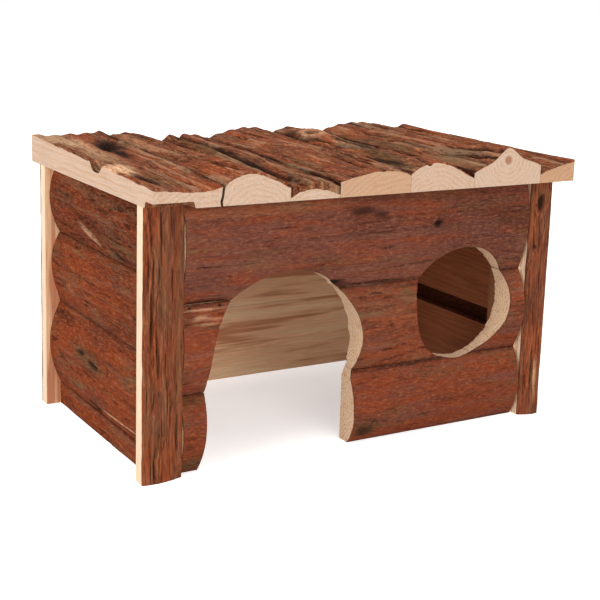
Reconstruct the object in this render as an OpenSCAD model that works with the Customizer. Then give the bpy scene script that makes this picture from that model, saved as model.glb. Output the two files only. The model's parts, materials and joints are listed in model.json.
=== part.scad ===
// Bark house for guinea pigs: half-log slabs nailed to corner posts and battens, open below.
// Millimetres, +Z up, doorway towards -Y. Origin on the ground, under the middle of the roof.

/* [House] */
// Width over the corner posts
house_w = 271; // [260:1:320]
// Depth over the corner posts
house_d = 156; // [130:1:200]
// Height from the ground to the underside of the roof
wall_h = 150; // [142:1:180]
// Gap between neighbouring slabs
joint_gap = 0.4; // [0.2:0.1:1]
// How far the crest of a slab wanders up and down along its length
crest_wave = 0.7; // [0:0.1:1]

/* [Posts] */
// Width of the front left post
front_left_post_w = 24; // [20:0.5:32]
// Width of the front right post
front_right_post_w = 14; // [12:0.5:32]
// Width of the two rear posts
rear_post_w = 24; // [20:0.5:32]
// Thickness of a post at the crest of its bark
post_t = 9; // [8:0.5:12]
// Thickness of a post at its outer edge, next to the corner of the house
post_outer_edge = 8.5; // [4:0.5:9]
// Thickness of a post at its inner edge, next to the wall slabs
post_inner_edge = 6; // [3:0.5:8]

/* [Front wall] */
// Distance from the front of the posts to the flat inner face of the slabs
front_wall_t = 17; // [15:0.5:24]
// Thickness of the front slabs at their crest
front_crest = 16; // [12:0.5:16]
// Thickness of the front slabs along their edges
front_edge = 8.5; // [5:0.5:11]
// Thickness of the top front slab along its edge under the roof
front_top_edge = 11; // [5:0.5:12]
// Height of the bottom course
front_1_h = 44; // [36:1:52]
// Height of the middle course
front_2_h = 50; // [40:1:56]

/* [Doorway] */
// Radius of the arch
door_r = 48.5; // [40:0.5:52]
// Share of the wall left over beside doorway and window that stands left of the doorway, in percent
door_share = 26; // [20:1:34]
// Centre of the arch above the ground
door_z = 60; // [50:0.5:66]
// Left foot of the doorway, from the centre of the arch
door_foot_left = 53.5; // [44:0.5:56]
// Right foot of the doorway, from the centre of the arch
door_foot_right = 44; // [36:0.5:46]

/* [Window] */
// Radius of the round window
window_r = 35; // [25:0.5:36]
// Share of the wall left over beside doorway and window that stands right of the window, in percent
window_share = 16; // [12:1:24]
// Centre of the window above the ground
window_z = 77; // [70:0.5:84]

/* [Side walls] */
// Distance from the outer side of the left posts to the flat inner face of the left slabs
left_wall_t = 18; // [15.5:0.5:22]
// Distance from the outer side of the right posts to the flat inner face of the right slabs
right_wall_t = 15.5; // [15.5:0.5:22]
// Thickness of the side slabs at their crest
side_crest = 15; // [10:0.5:15]
// Thickness of the side slabs along their edges
side_edge = 9; // [4:0.5:10]
// Thickness of the top side slabs along their edge under the roof
side_top_edge = 11; // [4:0.5:12]
// Height of the narrow ripped strip at the foot of the left wall
left_1_h = 14; // [10:1:24]
// Thickness of that strip at its crest
left_1_crest = 9.5; // [7:0.5:14]
// Height of the second slab of the left wall
left_2_h = 52; // [36:1:56]
// Height of the third slab of the left wall
left_3_h = 43.5; // [30:0.5:50]
// Height of the bottom slab of the right wall
right_1_h = 50; // [36:1:56]
// Height of the middle slab of the right wall
right_2_h = 46; // [36:1:56]
// Height of the waney inner edge at the foot of the middle right slab
wane_h = 11; // [6:0.5:16]
// Depth of that waney edge
wane_t = 4.5; // [2:0.5:5]

/* [Rear wall] */
// Thickness of the rear slabs at their crest
rear_crest = 11; // [9:0.5:15]
// Thickness of the rear slabs along their edges
rear_edge = 6; // [4:0.5:9]
// Height of the bottom slab of the rear wall
rear_1_h = 49; // [36:1:56]
// Height of the middle slab of the rear wall
rear_2_h = 47; // [36:1:56]

/* [Roof overhang] */
// Overhang in front of the posts
roof_front_over = 10; // [4:1:20]
// Overhang behind the posts
roof_rear_over = 14; // [6:1:24]
// Overhang past the left posts
roof_left_over = 0; // [0:1:10]
// Overhang past the right posts
roof_right_over = 7; // [0:1:10]
// Height of the notch under the first roof slab, in front of the left post
roof_notch_h = 3.5; // [1:0.5:5]

/* [Roof slabs, left to right] */
// Slab 1: width at the front and at the rear, before the row is trimmed to the roof
roof_1_plan = [39.5, 44]; // [14:0.5:70]
// Slab 1: left edge, crest and right edge at the front, and the place of the crest in percent
roof_1_front = [12, 10, 11.5, 60]; // [3:0.5:90]
// Slab 1: extra thickness at the rear
roof_1_rise = 5.5; // [-4:0.5:8]
// Slab 2: width at the front and at the rear
roof_2_plan = [40.5, 43]; // [14:0.5:70]
// Slab 2: left edge, crest, right edge, place of the crest
roof_2_front = [11.5, 17.5, 9, 45]; // [3:0.5:90]
// Slab 2: extra thickness at the rear
roof_2_rise = -2.5; // [-4:0.5:8]
// Slab 3: width at the front and at the rear
roof_3_plan = [31, 33]; // [14:0.5:70]
// Slab 3: left edge, crest, right edge, place of the crest
roof_3_front = [5.5, 9.5, 6, 48]; // [3:0.5:90]
// Slab 3: extra thickness at the rear
roof_3_rise = 4; // [-4:0.5:8]
// Slab 4: width at the front and at the rear
roof_4_plan = [46.5, 48]; // [14:0.5:70]
// Slab 4: left edge, crest, right edge, place of the crest
roof_4_front = [9, 14.5, 10, 58]; // [3:0.5:90]
// Slab 4: extra thickness at the rear
roof_4_rise = 0.5; // [-4:0.5:8]
// Slab 5: width at the front and at the rear
roof_5_plan = [44.5, 37.5]; // [14:0.5:70]
// Slab 5: left edge, crest, right edge, place of the crest
roof_5_front = [11, 16, 6.5, 38]; // [3:0.5:90]
// Slab 5: extra thickness at the rear
roof_5_rise = -1; // [-4:0.5:8]
// Slab 6: width at the front and at the rear
roof_6_plan = [49.5, 56.5]; // [14:0.5:70]
// Slab 6: left edge, crest, right edge, place of the crest
roof_6_front = [9.5, 16, 11.5, 50]; // [3:0.5:90]
// Slab 6: extra thickness at the rear
roof_6_rise = 0.5; // [-4:0.5:8]
// Slab 7: width at the front and at the rear
roof_7_plan = [26.5, 16]; // [14:0.5:70]
// Slab 7: left edge, crest, right edge, place of the crest
roof_7_front = [6.5, 10.5, 13, 55]; // [3:0.5:90]
// Slab 7: extra thickness at the rear
roof_7_rise = 0.5; // [-4:0.5:8]
// Height of the branch knot at the front end of slab 6
knot_h = 7; // [1:0.5:8]
// Half width of that knot
knot_w = 8; // [4:0.5:10]
// Length of the ridge that the knot runs out into
knot_len = 38; // [20:1:60]

/* [Roof bark] */
// Height of the ribs that run along the bark of the roof
rib_h = 0.4; // [0:0.1:1]
// Distance from one rib to the next
rib_gap = 10; // [8:0.5:16]
// How far the ribs wander across their slab
rib_drift = 2.5; // [0:0.5:5]

/* [Battens] */
// Wide side of a corner batten
batten_w = 12; // [9:0.5:16]
// Narrow side of a corner batten, and thickness of the cleat
batten_t = 6; // [4:0.5:7]
// Clearance between the battens and the ground
batten_lift = 4; // [1:0.5:10]
// Width of the cleat between doorway and window
cleat_w = 20; // [10:1:22]
// Depth of a roof batten, measured along the ground
roof_batten_w = 9; // [7:0.5:14]
// Height of a roof batten
roof_batten_h = 14; // [12:0.5:20]

/* [Brads] */
// Diameter of the wire brads
brad_d = 1.4; // [1:0.1:2]
// How deep a brad is set below the bark
brad_sink = 0.6; // [0.2:0.1:1.5]
// Bite of a brad in a roof batten
roof_bite = 10; // [6:0.5:11]
// Bite of a brad in a corner batten or the cleat
batten_bite = 3.5; // [2:0.25:3.75]
// Bite of a post's brad in the end of a side slab
end_bite = 15; // [8:0.5:20]
// Radial clearance of a brad in its hole
brad_fit = 0.05; // [0.02:0.01:0.1]

/* [Hidden] */
$fn = 48;
// How far a cutting shape runs past the face it opens
cut_over = 2;
// Least distance of a roof brad from the side of a post
nail_margin = 4;
// Facets across a slab, and the longest facet along it, on the walls and on the roof
across = 12;
along = 20;
roof_across = 16;
roof_along = 10;
// Waves along a slab: degrees of each over the slab's length, and phase from one slab to the next
crest_turn = 520;
crest_phase = 137;
peak_turn = 400;
peak_phase = 71;
// How far the place of the crest wanders, in percent of the slab's width
peak_wave = 4;
// Ribs of the roof: how often they wander over a slab's length, phase, and distance in which they start
rib_turn = 300;
rib_phase = 97;
rib_start = 12;
// Place of a post's crest, in percent from the outer side of the house
post_peak = 45;
// Side brads stand off the middle of a batten, clear of the front and rear ones: share of its size
side_nail = 0.75;
right_nail = 0.7;
// Depth of a post's brad in the end of a side slab, as a share of the slab's edge
end_nail = 0.6;

// The box of the posts, and the roof's plan centred on the origin
roof_w = house_w + roof_left_over + roof_right_over;
roof_d = house_d + roof_front_over + roof_rear_over;
x_left = -roof_w / 2 + roof_left_over;
x_right = x_left + house_w;
y_front = -roof_d / 2 + roof_front_over;
y_rear = y_front + house_d;

// Flat inner faces of the four walls
in_left = x_left + left_wall_t;
in_right = x_right - right_wall_t;
in_front = y_front + front_wall_t;
in_rear = y_rear - post_t;

// Ends of the wall slabs: front and rear ones between the posts, side ones from post to post
front_x0 = x_left + max(front_left_post_w, left_wall_t) + joint_gap;
front_x1 = x_right - max(front_right_post_w, right_wall_t) - joint_gap;
rear_x0 = x_left + rear_post_w + joint_gap;
rear_x1 = x_right - rear_post_w - joint_gap;
side_y0 = y_front + post_t;
side_y1 = y_rear - post_t;

// Joint heights of the four walls, ground to roof
front_z = [0, front_1_h, front_1_h + front_2_h, wall_h];
left_z = [0, left_1_h, left_1_h + left_2_h, left_1_h + left_2_h + left_3_h, wall_h];
right_z = [0, right_1_h, right_1_h + right_2_h, wall_h];
rear_z = [0, rear_1_h, rear_1_h + rear_2_h, wall_h];

// Places of the doorway, the window and the cleat between them
wall_left_over = front_x1 - front_x0 - 2 * (door_r + window_r);
door_mid = front_x0 + wall_left_over * door_share / 100 + door_r;
window_mid = front_x1 - wall_left_over * window_share / 100 - window_r;
cleat_mid = (door_mid + door_r + window_mid - window_r) / 2;

// Crest of each course, in percent of its height from its lower edge
front_peaks = [46, 52, 55];
left_peaks = [50, 47, 54, 52];
right_peaks = [48, 53, 50];
rear_peaks = [52, 47, 51];

roof_plans = [roof_1_plan, roof_2_plan, roof_3_plan, roof_4_plan, roof_5_plan, roof_6_plan, roof_7_plan];
roof_fronts = [roof_1_front, roof_2_front, roof_3_front, roof_4_front, roof_5_front, roof_6_front,
    roof_7_front];
roof_rises = [roof_1_rise, roof_2_rise, roof_3_rise, roof_4_rise, roof_5_rise, roof_6_rise, roof_7_rise];
roof_count = len(roof_plans);
knotted_slab = 5;

// Marks in the roof's bark, in percent of the slab along from the front and across from the left edge:
// [slab, rise, half width in mm, place along, half length, place across at the front, and at the rear]
roof_marks = [
    // First slab: notch in the left edge, knot hole, the worn hollow between them
    [0, -6, 5.5, 42, 4.5, 0, 0],
    [0, -5, 5, 74, 5, 74, 76],
    [0, -2.4, 9, 58, 14, 36, 36],
    // Cracks along the second slab
    [1, -1.6, 2.5, 33, 22, 33, 35],
    [1, -1.5, 2.5, 61, 28, 63, 64],
    // Third slab: ridge and deep groove from end to end
    [2, 1.6, 3, 55, 60, 11, 17],
    [2, -4, 2.5, 50, 70, 28, 34],
    // Fifth slab: ridge and groove that cross it at a slant
    [4, 0.9, 3, 36, 30, 19, 97],
    [4, -3.2, 2.5, 33, 36, 28, 106],
    // Sixth slab: swollen knot with a hollow in it, and a crack
    [5, 3, 7, 89, 8, 12, 12],
    [5, -3.5, 3, 89, 4, 12, 12],
    [5, -1.6, 2.5, 39, 22, 62, 63],
    // Crack along the seventh slab
    [6, -1.4, 2.5, 61, 33, 25, 25]
];

bark_red = "#8a4b35";
bark_brown = "#74462f";
bark_grey = "#6d5240";
planed = "#b98d66";
steel = "#8d8d8d";

function mix(a, b, t) = a + (b - a) * t;

// Sum of the first n widths of the roof slabs, end 0 at the front and 1 at the rear
function row(end, n) = n == 0 ? 0 : roof_plans[n - 1][end] + row(end, n - 1);

// Joint n of the roof at one end, with the row of slabs trimmed to fill the roof
function roof_x(end, n) = -roof_w / 2 + roof_w * row(end, n) / row(end, roof_count);

// Lower and upper edge of a course, with half the joint's gap taken off inside the wall
function course(z, i) = [
    z[i] + (i == 0 ? 0 : joint_gap / 2),
    z[i + 1] - (i == len(z) - 2 ? 0 : joint_gap / 2)
];

// A section is [low edge, crest, high edge, place of the crest in percent].
// Its bark is a straight line between the edges with a parabola on it that peaks at the crest.
function arch(u, peak) = let (w = pow(u, ln(0.5) / ln(peak))) 4 * w * (1 - w);
function section_h(s, u) = let (peak = s[3] / 100, base = mix(s[0], s[2], peak))
    mix(s[0], s[2], u) + (s[1] - base) * arch(u, peak);

// A section seen from its other side
function turned(s) = [s[2], s[1], s[0], 100 - s[3]];

// Section of a slab at t along its length: it changes evenly, and crest and place wander
function section_at(near, far, seed, t) = mix(near, far, t) + [
    0, crest_wave * sin(crest_turn * t + crest_phase * seed),
    0, peak_wave * sin(peak_turn * t + peak_phase * seed)
];

// Bark thickness of a slab at t along and u across
function bark_h(near, far, seed, t, u) = section_h(section_at(near, far, seed, t), u);

// Rise of a mark at t along and v across from the left, on a slab w wide there
function mark_h(m, t, v, w) = m[1] * exp(-pow((v - mix(m[5], m[6], t) / 100) * w / m[2], 2))
    * exp(-pow((100 * t - m[3]) / m[4], 4));

// Ribs across a slab w wide; they start a little behind its front end
function ribs_h(i, t, v, w) = rib_h * (1 - exp(-pow(t * roof_d / rib_start, 2)))
    * sin(360 / rib_gap * (v * w + rib_drift * sin(rib_turn * t + rib_phase * i)) + rib_phase * i);

function sum(values, i = 0) = i == len(values) ? 0 : values[i] + sum(values, i + 1);

// Ribs and marks of roof slab i at t along and v across from the left
function roof_relief(i, t, v) = let (
        w = mix(roof_x(0, i + 1) - roof_x(0, i), roof_x(1, i + 1) - roof_x(1, i), t)
    ) ribs_h(i, t, v, w) + sum([for (m = roof_marks) if (m[0] == i) mark_h(m, t, v, w)]);

// Half-log slab: flat face on the ground plane, bark up, length along X, width along Y.
// lo and hi are its two edges at the start and at the end; knot is [height, centre y, half width, length].
// A slab of the roof has a number, and the relief of that slab.
module slab(length, lo, hi, near, far, seed, knot = [0, 0, 1, 1], roof = -1) {
    n = max(4, ceil(length / (roof < 0 ? along : roof_along)));
    m = roof < 0 ? across : roof_across;
    function y_at(t, u) = mix(mix(lo[0], lo[1], t), mix(hi[0], hi[1], t), u);
    function knot_at(x, y) =
        knot[0] * exp(-pow((y - knot[1]) / knot[2], 2)) * exp(-pow(x / knot[3], 2));
    function top_at(t, u) = bark_h(near, far, seed, t, u) + knot_at(t * length, y_at(t, u))
        + (roof < 0 ? 0 : roof_relief(roof, t, 1 - u));
    top = [for (i = [0 : n], j = [0 : m]) [length * i / n, y_at(i / n, j / m), top_at(i / n, j / m)]];
    base = [for (i = [0 : n], u = [0, 1]) [length * i / n, y_at(i / n, u), 0]];
    feet = [for (end = [0, 1], j = [1 : m - 1]) [length * end, y_at(end, j / m), 0]];
    function at(i, j) = i * (m + 1) + j;
    function low(i, k) = len(top) + 2 * i + k;
    function foot(end, j) = j == 0 ? low(end * n, 0) : j == m ? low(end * n, 1)
        : len(top) + len(base) + end * (m - 1) + j - 1;
    faces = concat(
        [for (i = [0 : n - 1], j = [0 : m - 1]) [at(i, j), at(i, j + 1), at(i + 1, j + 1)]],
        [for (i = [0 : n - 1], j = [0 : m - 1]) [at(i, j), at(i + 1, j + 1), at(i + 1, j)]],
        [for (i = [1 : n - 2]) [low(i, 0), low(i + 1, 0), low(i + 1, 1), low(i, 1)]],
        [concat([low(1, 0), low(1, 1)], [for (j = [m : -1 : 0]) foot(0, j)])],
        [concat([low(n - 1, 1), low(n - 1, 0)], [for (j = [0 : m]) foot(1, j)])],
        [for (i = [0 : n - 1]) [low(i, 0), at(i, 0), at(i + 1, 0), low(i + 1, 0)]],
        [for (i = [0 : n - 1]) [low(i, 1), low(i + 1, 1), at(i + 1, m), at(i, m)]],
        [for (j = [0 : m - 1]) [foot(0, j + 1), at(0, j + 1), at(0, j), foot(0, j)]],
        [for (j = [0 : m - 1]) [foot(1, j), at(n, j), at(n, j + 1), foot(1, j + 1)]]
    );
    polyhedron(concat(top, base, feet), faces);
}

// Turn a slab so that its length runs along a wall and its bark faces out of the house
module on_front() { translate([front_x0, in_front, 0]) rotate([90, 0, 0]) children(); }
module on_rear() { translate([rear_x1, in_rear, 0]) rotate([90, 0, 180]) children(); }
module on_left() { translate([in_left, side_y1, 0]) rotate([90, 0, -90]) children(); }
module on_right() { translate([in_right, side_y0, 0]) rotate([90, 0, 90]) children(); }
module on_roof() { translate([0, -roof_d / 2, wall_h]) rotate([0, 0, 90]) children(); }

// Sections of the wall slabs
front_s = [for (i = [0 : 2])
    [front_edge, front_crest, i == 2 ? front_top_edge : front_edge, front_peaks[i]]];
left_s = [for (i = [0 : 3])
    [side_edge, i == 0 ? left_1_crest : side_crest, i == 3 ? side_top_edge : side_edge, left_peaks[i]]];
right_s = [for (i = [0 : 2])
    [side_edge, side_crest, i == 2 ? side_top_edge : side_edge, right_peaks[i]]];
rear_s = [for (p = rear_peaks) [rear_edge, rear_crest, rear_edge, p]];

// Seeds keep the wander of each wall's slabs apart
front_seed = 1;
left_seed = 5;
right_seed = 10;
rear_seed = 14;
roof_seed = 20;

// A straight run of wall: one course from end to end
module wall_course(length, z, i, s, seed) {
    edges = course(z, i);
    slab(length, [edges[0], edges[0]], [edges[1], edges[1]], s, s, seed + i);
}

// Brads: each is [point where the wire starts, rotation that points +Z along it, length]
down = [180, 0, 0];
back = [-90, 0, 0];
forth = [90, 0, 0];
rightward = [0, 90, 0];
leftward = [0, -90, 0];

module drive(brads, r, start) {
    for (b = brads)
        translate(b[0]) rotate(b[1]) translate([0, 0, -start]) cylinder(r = r, h = b[2] + start);
}
module wires(brads) { color(steel) drive(brads, brad_d / 2, 0); }
module holes(brads) { drive(brads, brad_d / 2 + brad_fit, brad_sink + cut_over); }

// Middle height of a course
function mid_z(z, i) = (z[i] + z[i + 1]) / 2;

// Roof brads: two in each slab. The outer slabs are nailed to the posts, the rest to the roof battens
front_batten_y = in_front + roof_batten_w / 2;
rear_batten_y = in_rear - roof_batten_w / 2;
function outer(i) = i == 0 || i == roof_count - 1;
function roof_nail_y(i, end) = end == 0
    ? (outer(i) ? y_front + post_t / 2 : front_batten_y)
    : (outer(i) ? y_rear - post_t / 2 : rear_batten_y);
function clamp(v, lo, hi) = min(max(v, lo), hi);
function roof_nail_x(i, end, middle) =
    i == 0 ? clamp(middle, x_left + nail_margin,
        x_left + (end == 0 ? front_left_post_w : rear_post_w) - nail_margin)
    : outer(i) ? clamp(middle, x_right - (end == 0 ? front_right_post_w : rear_post_w) + nail_margin,
        x_right - nail_margin)
    : middle;
function roof_front_s(i) = turned(roof_fronts[i]);
function roof_rear_s(i) = turned(roof_fronts[i] + [roof_rises[i], roof_rises[i], roof_rises[i], 0]);
function roof_brads_of(i) = [for (end = [0, 1])
    let (
        y = roof_nail_y(i, end),
        t = (y + roof_d / 2) / roof_d,
        x0 = mix(roof_x(0, i), roof_x(1, i), t),
        x1 = mix(roof_x(0, i + 1), roof_x(1, i + 1), t),
        x = roof_nail_x(i, end, (x0 + x1) / 2),
        v = (x - x0) / (x1 - x0),
        h = bark_h(roof_front_s(i), roof_rear_s(i), roof_seed + i, t, 1 - v) + roof_relief(i, t, v)
    ) [[x, y, wall_h + h - brad_sink], down, h - brad_sink + roof_bite]];
all_roof_brads = [for (i = [0 : roof_count - 1]) each roof_brads_of(i)];
batten_roof_brads = [for (i = [1 : roof_count - 2]) each roof_brads_of(i)];

// Brads through the front slabs at distance x, into the batten or cleat behind
front_len = front_x1 - front_x0;
function front_brad(i, x) = let (
        edges = course(front_z, i),
        z = mid_z(front_z, i),
        u = (z - edges[0]) / (edges[1] - edges[0]),
        h = bark_h(front_s[i], front_s[i], front_seed + i, (x - front_x0) / front_len, u)
    ) [[x, in_front - h + brad_sink, z], back, h - brad_sink + batten_bite];
left_nail_x = (front_x0 + in_left + batten_w) / 2;
right_nail_x = (front_x1 + in_right - batten_t) / 2;
front_left_brads = [for (i = [0 : 2]) front_brad(i, left_nail_x)];
front_cleat_brads = [for (i = [0 : 2]) front_brad(i, cleat_mid)];
front_right_brads = [for (i = [0 : 2]) front_brad(i, right_nail_x)];

// Brads through the rear slabs into the rear corner battens
rear_len = rear_x1 - rear_x0;
function rear_brad(i, x) = let (
        edges = course(rear_z, i),
        z = mid_z(rear_z, i),
        u = (z - edges[0]) / (edges[1] - edges[0]),
        h = bark_h(rear_s[i], rear_s[i], rear_seed + i, (rear_x1 - x) / rear_len, u)
    ) [[x, in_rear + h - brad_sink, z], forth, h - brad_sink + batten_bite];
rear_left_brads = [for (i = [0 : 2]) rear_brad(i, (rear_x0 + in_left + batten_w) / 2)];
rear_right_brads = [for (i = [0 : 2]) rear_brad(i, (rear_x1 + in_right - batten_w) / 2)];

// Brads through the side slabs into the corner battens; sign is -1 on the left and 1 on the right
side_len = side_y1 - side_y0;
function side_brad(z, i, s, seed, y, sign) = let (
        edges = course(z, i),
        zm = mid_z(z, i),
        u = (zm - edges[0]) / (edges[1] - edges[0]),
        t = sign < 0 ? (side_y1 - y) / side_len : (y - side_y0) / side_len,
        h = bark_h(s[i], s[i], seed + i, t, u),
        x = sign < 0 ? in_left - h + brad_sink : in_right + h - brad_sink
    ) [[x, y, zm], sign < 0 ? rightward : leftward, h - brad_sink + batten_bite];
function left_brads_at(y) = [for (i = [0 : 3]) side_brad(left_z, i, left_s, left_seed, y, -1)];
function right_brads_at(y) = [for (i = [0 : 2]) side_brad(right_z, i, right_s, right_seed, y, 1)];
left_front_brads = left_brads_at(in_front + batten_t * side_nail);
left_rear_brads = left_brads_at(in_rear - batten_t * side_nail);
right_front_brads = right_brads_at(in_front + batten_w * right_nail);
right_rear_brads = right_brads_at(in_rear - batten_t * side_nail);

// Brads through the posts into the ends of the side slabs, halfway through the slab's thin edge
left_end_x = in_left - side_edge * end_nail;
right_end_x = in_right + side_edge * end_nail;
function post_h(w, s, x) = section_h(s, x / w);
function front_post_brads(z, x, h, n) = [for (i = [0 : n - 1])
    [[x, side_y0 - h + brad_sink, mid_z(z, i)], back, h - brad_sink + end_bite]];
function rear_post_brads(z, x, h, n) = [for (i = [0 : n - 1])
    [[x, side_y1 + h - brad_sink, mid_z(z, i)], forth, h - brad_sink + end_bite]];

// A post's plan section, from its left edge to its right edge with the bark towards -Y
left_post_s = [post_outer_edge, post_t, post_inner_edge, post_peak];
right_post_s = turned(left_post_s);
fl_brads = front_post_brads(left_z, left_end_x,
    post_h(front_left_post_w, left_post_s, left_end_x - x_left), 4);
fr_brads = front_post_brads(right_z, right_end_x,
    post_h(front_right_post_w, right_post_s, right_end_x - x_right + front_right_post_w), 3);
rl_brads = rear_post_brads(left_z, left_end_x,
    post_h(rear_post_w, right_post_s, x_left + rear_post_w - left_end_x), 4);
rr_brads = rear_post_brads(right_z, right_end_x,
    post_h(rear_post_w, left_post_s, x_right - right_end_x), 3);

// Vertical bark slab with its flat back on y = 0 and its bark towards -Y, from x = 0 to x = w
module post(w, s) {
    linear_extrude(height = wall_h)
        polygon(concat(
            [[w, 0], [0, 0]],
            [for (j = [0 : across]) [w * j / across, -section_h(s, j / across)]]
        ));
}

module front_left_post() {
    color(bark_brown) difference() {
        translate([x_left, side_y0, 0]) post(front_left_post_w, left_post_s);
        holes(concat(fl_brads, [roof_brads_of(0)[0]]));
    }
}
module front_right_post() {
    color(bark_brown) difference() {
        translate([x_right - front_right_post_w, side_y0, 0]) post(front_right_post_w, right_post_s);
        holes(concat(fr_brads, [roof_brads_of(roof_count - 1)[0]]));
    }
}
module rear_left_post() {
    color(bark_brown) difference() {
        translate([x_left + rear_post_w, side_y1, 0]) rotate(180) post(rear_post_w, right_post_s);
        holes(concat(rl_brads, [roof_brads_of(0)[1]]));
    }
}
module rear_right_post() {
    color(bark_brown) difference() {
        translate([x_right, side_y1, 0]) rotate(180) post(rear_post_w, left_post_s);
        holes(concat(rr_brads, [roof_brads_of(roof_count - 1)[1]]));
    }
}

// Doorway and window, cut through the front wall after its courses are up
module doorway() {
    translate([door_mid, in_front + cut_over, 0]) rotate([90, 0, 0])
        linear_extrude(height = front_wall_t + 2 * cut_over) {
            translate([0, door_z]) circle(r = door_r);
            polygon([
                [-door_foot_left, -cut_over],
                [door_foot_right, -cut_over],
                [door_foot_right, door_z],
                [-door_r, door_z]
            ]);
        }
}
module window() {
    translate([window_mid, in_front + cut_over, window_z]) rotate([90, 0, 0])
        cylinder(r = window_r, h = front_wall_t + 2 * cut_over);
}

// The piece of a front course between x0 and x1
module front_piece(i, x0, x1, brads) {
    difference() {
        intersection() {
            on_front() wall_course(front_len, front_z, i, front_s[i], front_seed);
            translate([x0, y_front - cut_over, -cut_over])
                cube([x1 - x0, front_wall_t + 2 * cut_over, wall_h + 2 * cut_over]);
        }
        doorway();
        window();
        holes(brads);
    }
}
module front_bottom_left_slab() {
    color(bark_red) front_piece(0, front_x0 - cut_over, door_mid, [front_left_brads[0]]);
}
module front_bottom_right_slab() {
    color(bark_red)
        front_piece(0, door_mid, front_x1 + cut_over, [front_cleat_brads[0], front_right_brads[0]]);
}
module front_middle_left_slab() {
    color(bark_red) front_piece(1, front_x0 - cut_over, door_mid, [front_left_brads[1]]);
}
module front_middle_centre_slab() {
    color(bark_red) front_piece(1, door_mid, window_mid, [front_cleat_brads[1]]);
}
module front_middle_right_slab() {
    color(bark_red) front_piece(1, window_mid, front_x1 + cut_over, [front_right_brads[1]]);
}
module front_top_slab() {
    color(bark_red) front_piece(2, front_x0 - cut_over, front_x1 + cut_over,
        [front_left_brads[2], front_cleat_brads[2], front_right_brads[2]]);
}

// Side and rear walls
module left_slab(i) {
    color(bark_red) difference() {
        on_left() wall_course(side_len, left_z, i, left_s[i], left_seed);
        holes([left_front_brads[i], left_rear_brads[i], fl_brads[i], rl_brads[i]]);
    }
}
module left_bottom_slab() { left_slab(0); }
module left_lower_slab() { left_slab(1); }
module left_upper_slab() { left_slab(2); }
module left_top_slab() { left_slab(3); }

module right_slab(i) {
    color(bark_red) difference() {
        on_right() wall_course(side_len, right_z, i, right_s[i], right_seed);
        holes([right_front_brads[i], right_rear_brads[i], fr_brads[i], rr_brads[i]]);
    }
}
module right_bottom_slab() { right_slab(0); }
// The middle right slab keeps the round of the log along the foot of its inner face
module right_middle_slab() {
    difference() {
        right_slab(1);
        translate([in_right, side_y1 + cut_over, right_z[1]]) rotate([90, 0, 0])
            linear_extrude(height = side_len + 2 * cut_over)
                polygon([[-cut_over, wane_h + cut_over * wane_h / wane_t],
                    [wane_t + cut_over * wane_t / wane_h, -cut_over], [-cut_over, -cut_over]]);
    }
}
module right_top_slab() { right_slab(2); }

module rear_slab(i) {
    color(bark_red) difference() {
        on_rear() wall_course(rear_len, rear_z, i, rear_s[i], rear_seed);
        holes([rear_left_brads[i], rear_right_brads[i]]);
    }
}
module rear_bottom_slab() { rear_slab(0); }
module rear_middle_slab() { rear_slab(1); }
module rear_top_slab() { rear_slab(2); }

// Roof slabs, numbered from the left; local Y runs to the left, so edges and sections are turned
module roof_slab(i, knot = [0, 0, 1, 1]) {
    gap_l = i == 0 ? 0 : joint_gap / 2;
    gap_r = i == roof_count - 1 ? 0 : joint_gap / 2;
    color(i % 2 == 0 ? bark_brown : bark_grey) difference() {
        on_roof() slab(roof_d,
            [for (end = [0, 1]) -roof_x(end, i + 1) + gap_r],
            [for (end = [0, 1]) -roof_x(end, i) - gap_l],
            roof_front_s(i), roof_rear_s(i), roof_seed + i, knot, i);
        holes(roof_brads_of(i));
    }
}
// The first slab is notched over the left post, where its front end overhangs
module roof_slab_1() {
    difference() {
        roof_slab(0);
        translate([-roof_w / 2 - cut_over, -roof_d / 2 - cut_over, wall_h - cut_over])
            cube([roof_left_over + front_left_post_w + cut_over, roof_front_over + cut_over,
                roof_notch_h + cut_over]);
    }
}
module roof_slab_2() { roof_slab(1); }
module roof_slab_3() { roof_slab(2); }
module roof_slab_4() { roof_slab(3); }
module roof_slab_5() { roof_slab(4); }
module roof_slab_6() {
    middle = (roof_x(0, knotted_slab) + roof_x(0, knotted_slab + 1)) / 2;
    roof_slab(knotted_slab, [knot_h, -middle, knot_w, knot_len]);
}
module roof_slab_7() { roof_slab(6); }

// Corner battens stand in the inner corners, their wide side on the front, rear or right wall
module batten(corner, size, brads) {
    color(planed) difference() {
        translate([corner[0], corner[1], batten_lift]) cube([size[0], size[1], wall_h - batten_lift]);
        holes(brads);
    }
}
module front_left_batten() {
    batten([in_left, in_front], [batten_w, batten_t], concat(front_left_brads, left_front_brads));
}
module front_right_batten() {
    batten([in_right - batten_t, in_front], [batten_t, batten_w],
        concat(front_right_brads, right_front_brads));
}
module rear_left_batten() {
    batten([in_left, in_rear - batten_t], [batten_w, batten_t], concat(rear_left_brads, left_rear_brads));
}
module rear_right_batten() {
    batten([in_right - batten_w, in_rear - batten_t], [batten_w, batten_t],
        concat(rear_right_brads, right_rear_brads));
}
module front_cleat() {
    color(planed) difference() {
        translate([cleat_mid - cleat_w / 2, in_front, batten_lift])
            cube([cleat_w, batten_t, wall_h - roof_batten_h - batten_lift]);
        holes(front_cleat_brads);
    }
}

// Roof battens lie under the roof slabs, between the corner battens
module roof_batten(y, right_end) {
    color(planed) difference() {
        translate([in_left + batten_w, y, wall_h - roof_batten_h])
            cube([right_end - in_left - batten_w, roof_batten_w, roof_batten_h]);
        holes(batten_roof_brads);
    }
}
module roof_front_batten() { roof_batten(in_front, in_right - batten_t); }
module roof_rear_batten() { roof_batten(in_rear - roof_batten_w, in_right - batten_w); }

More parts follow.
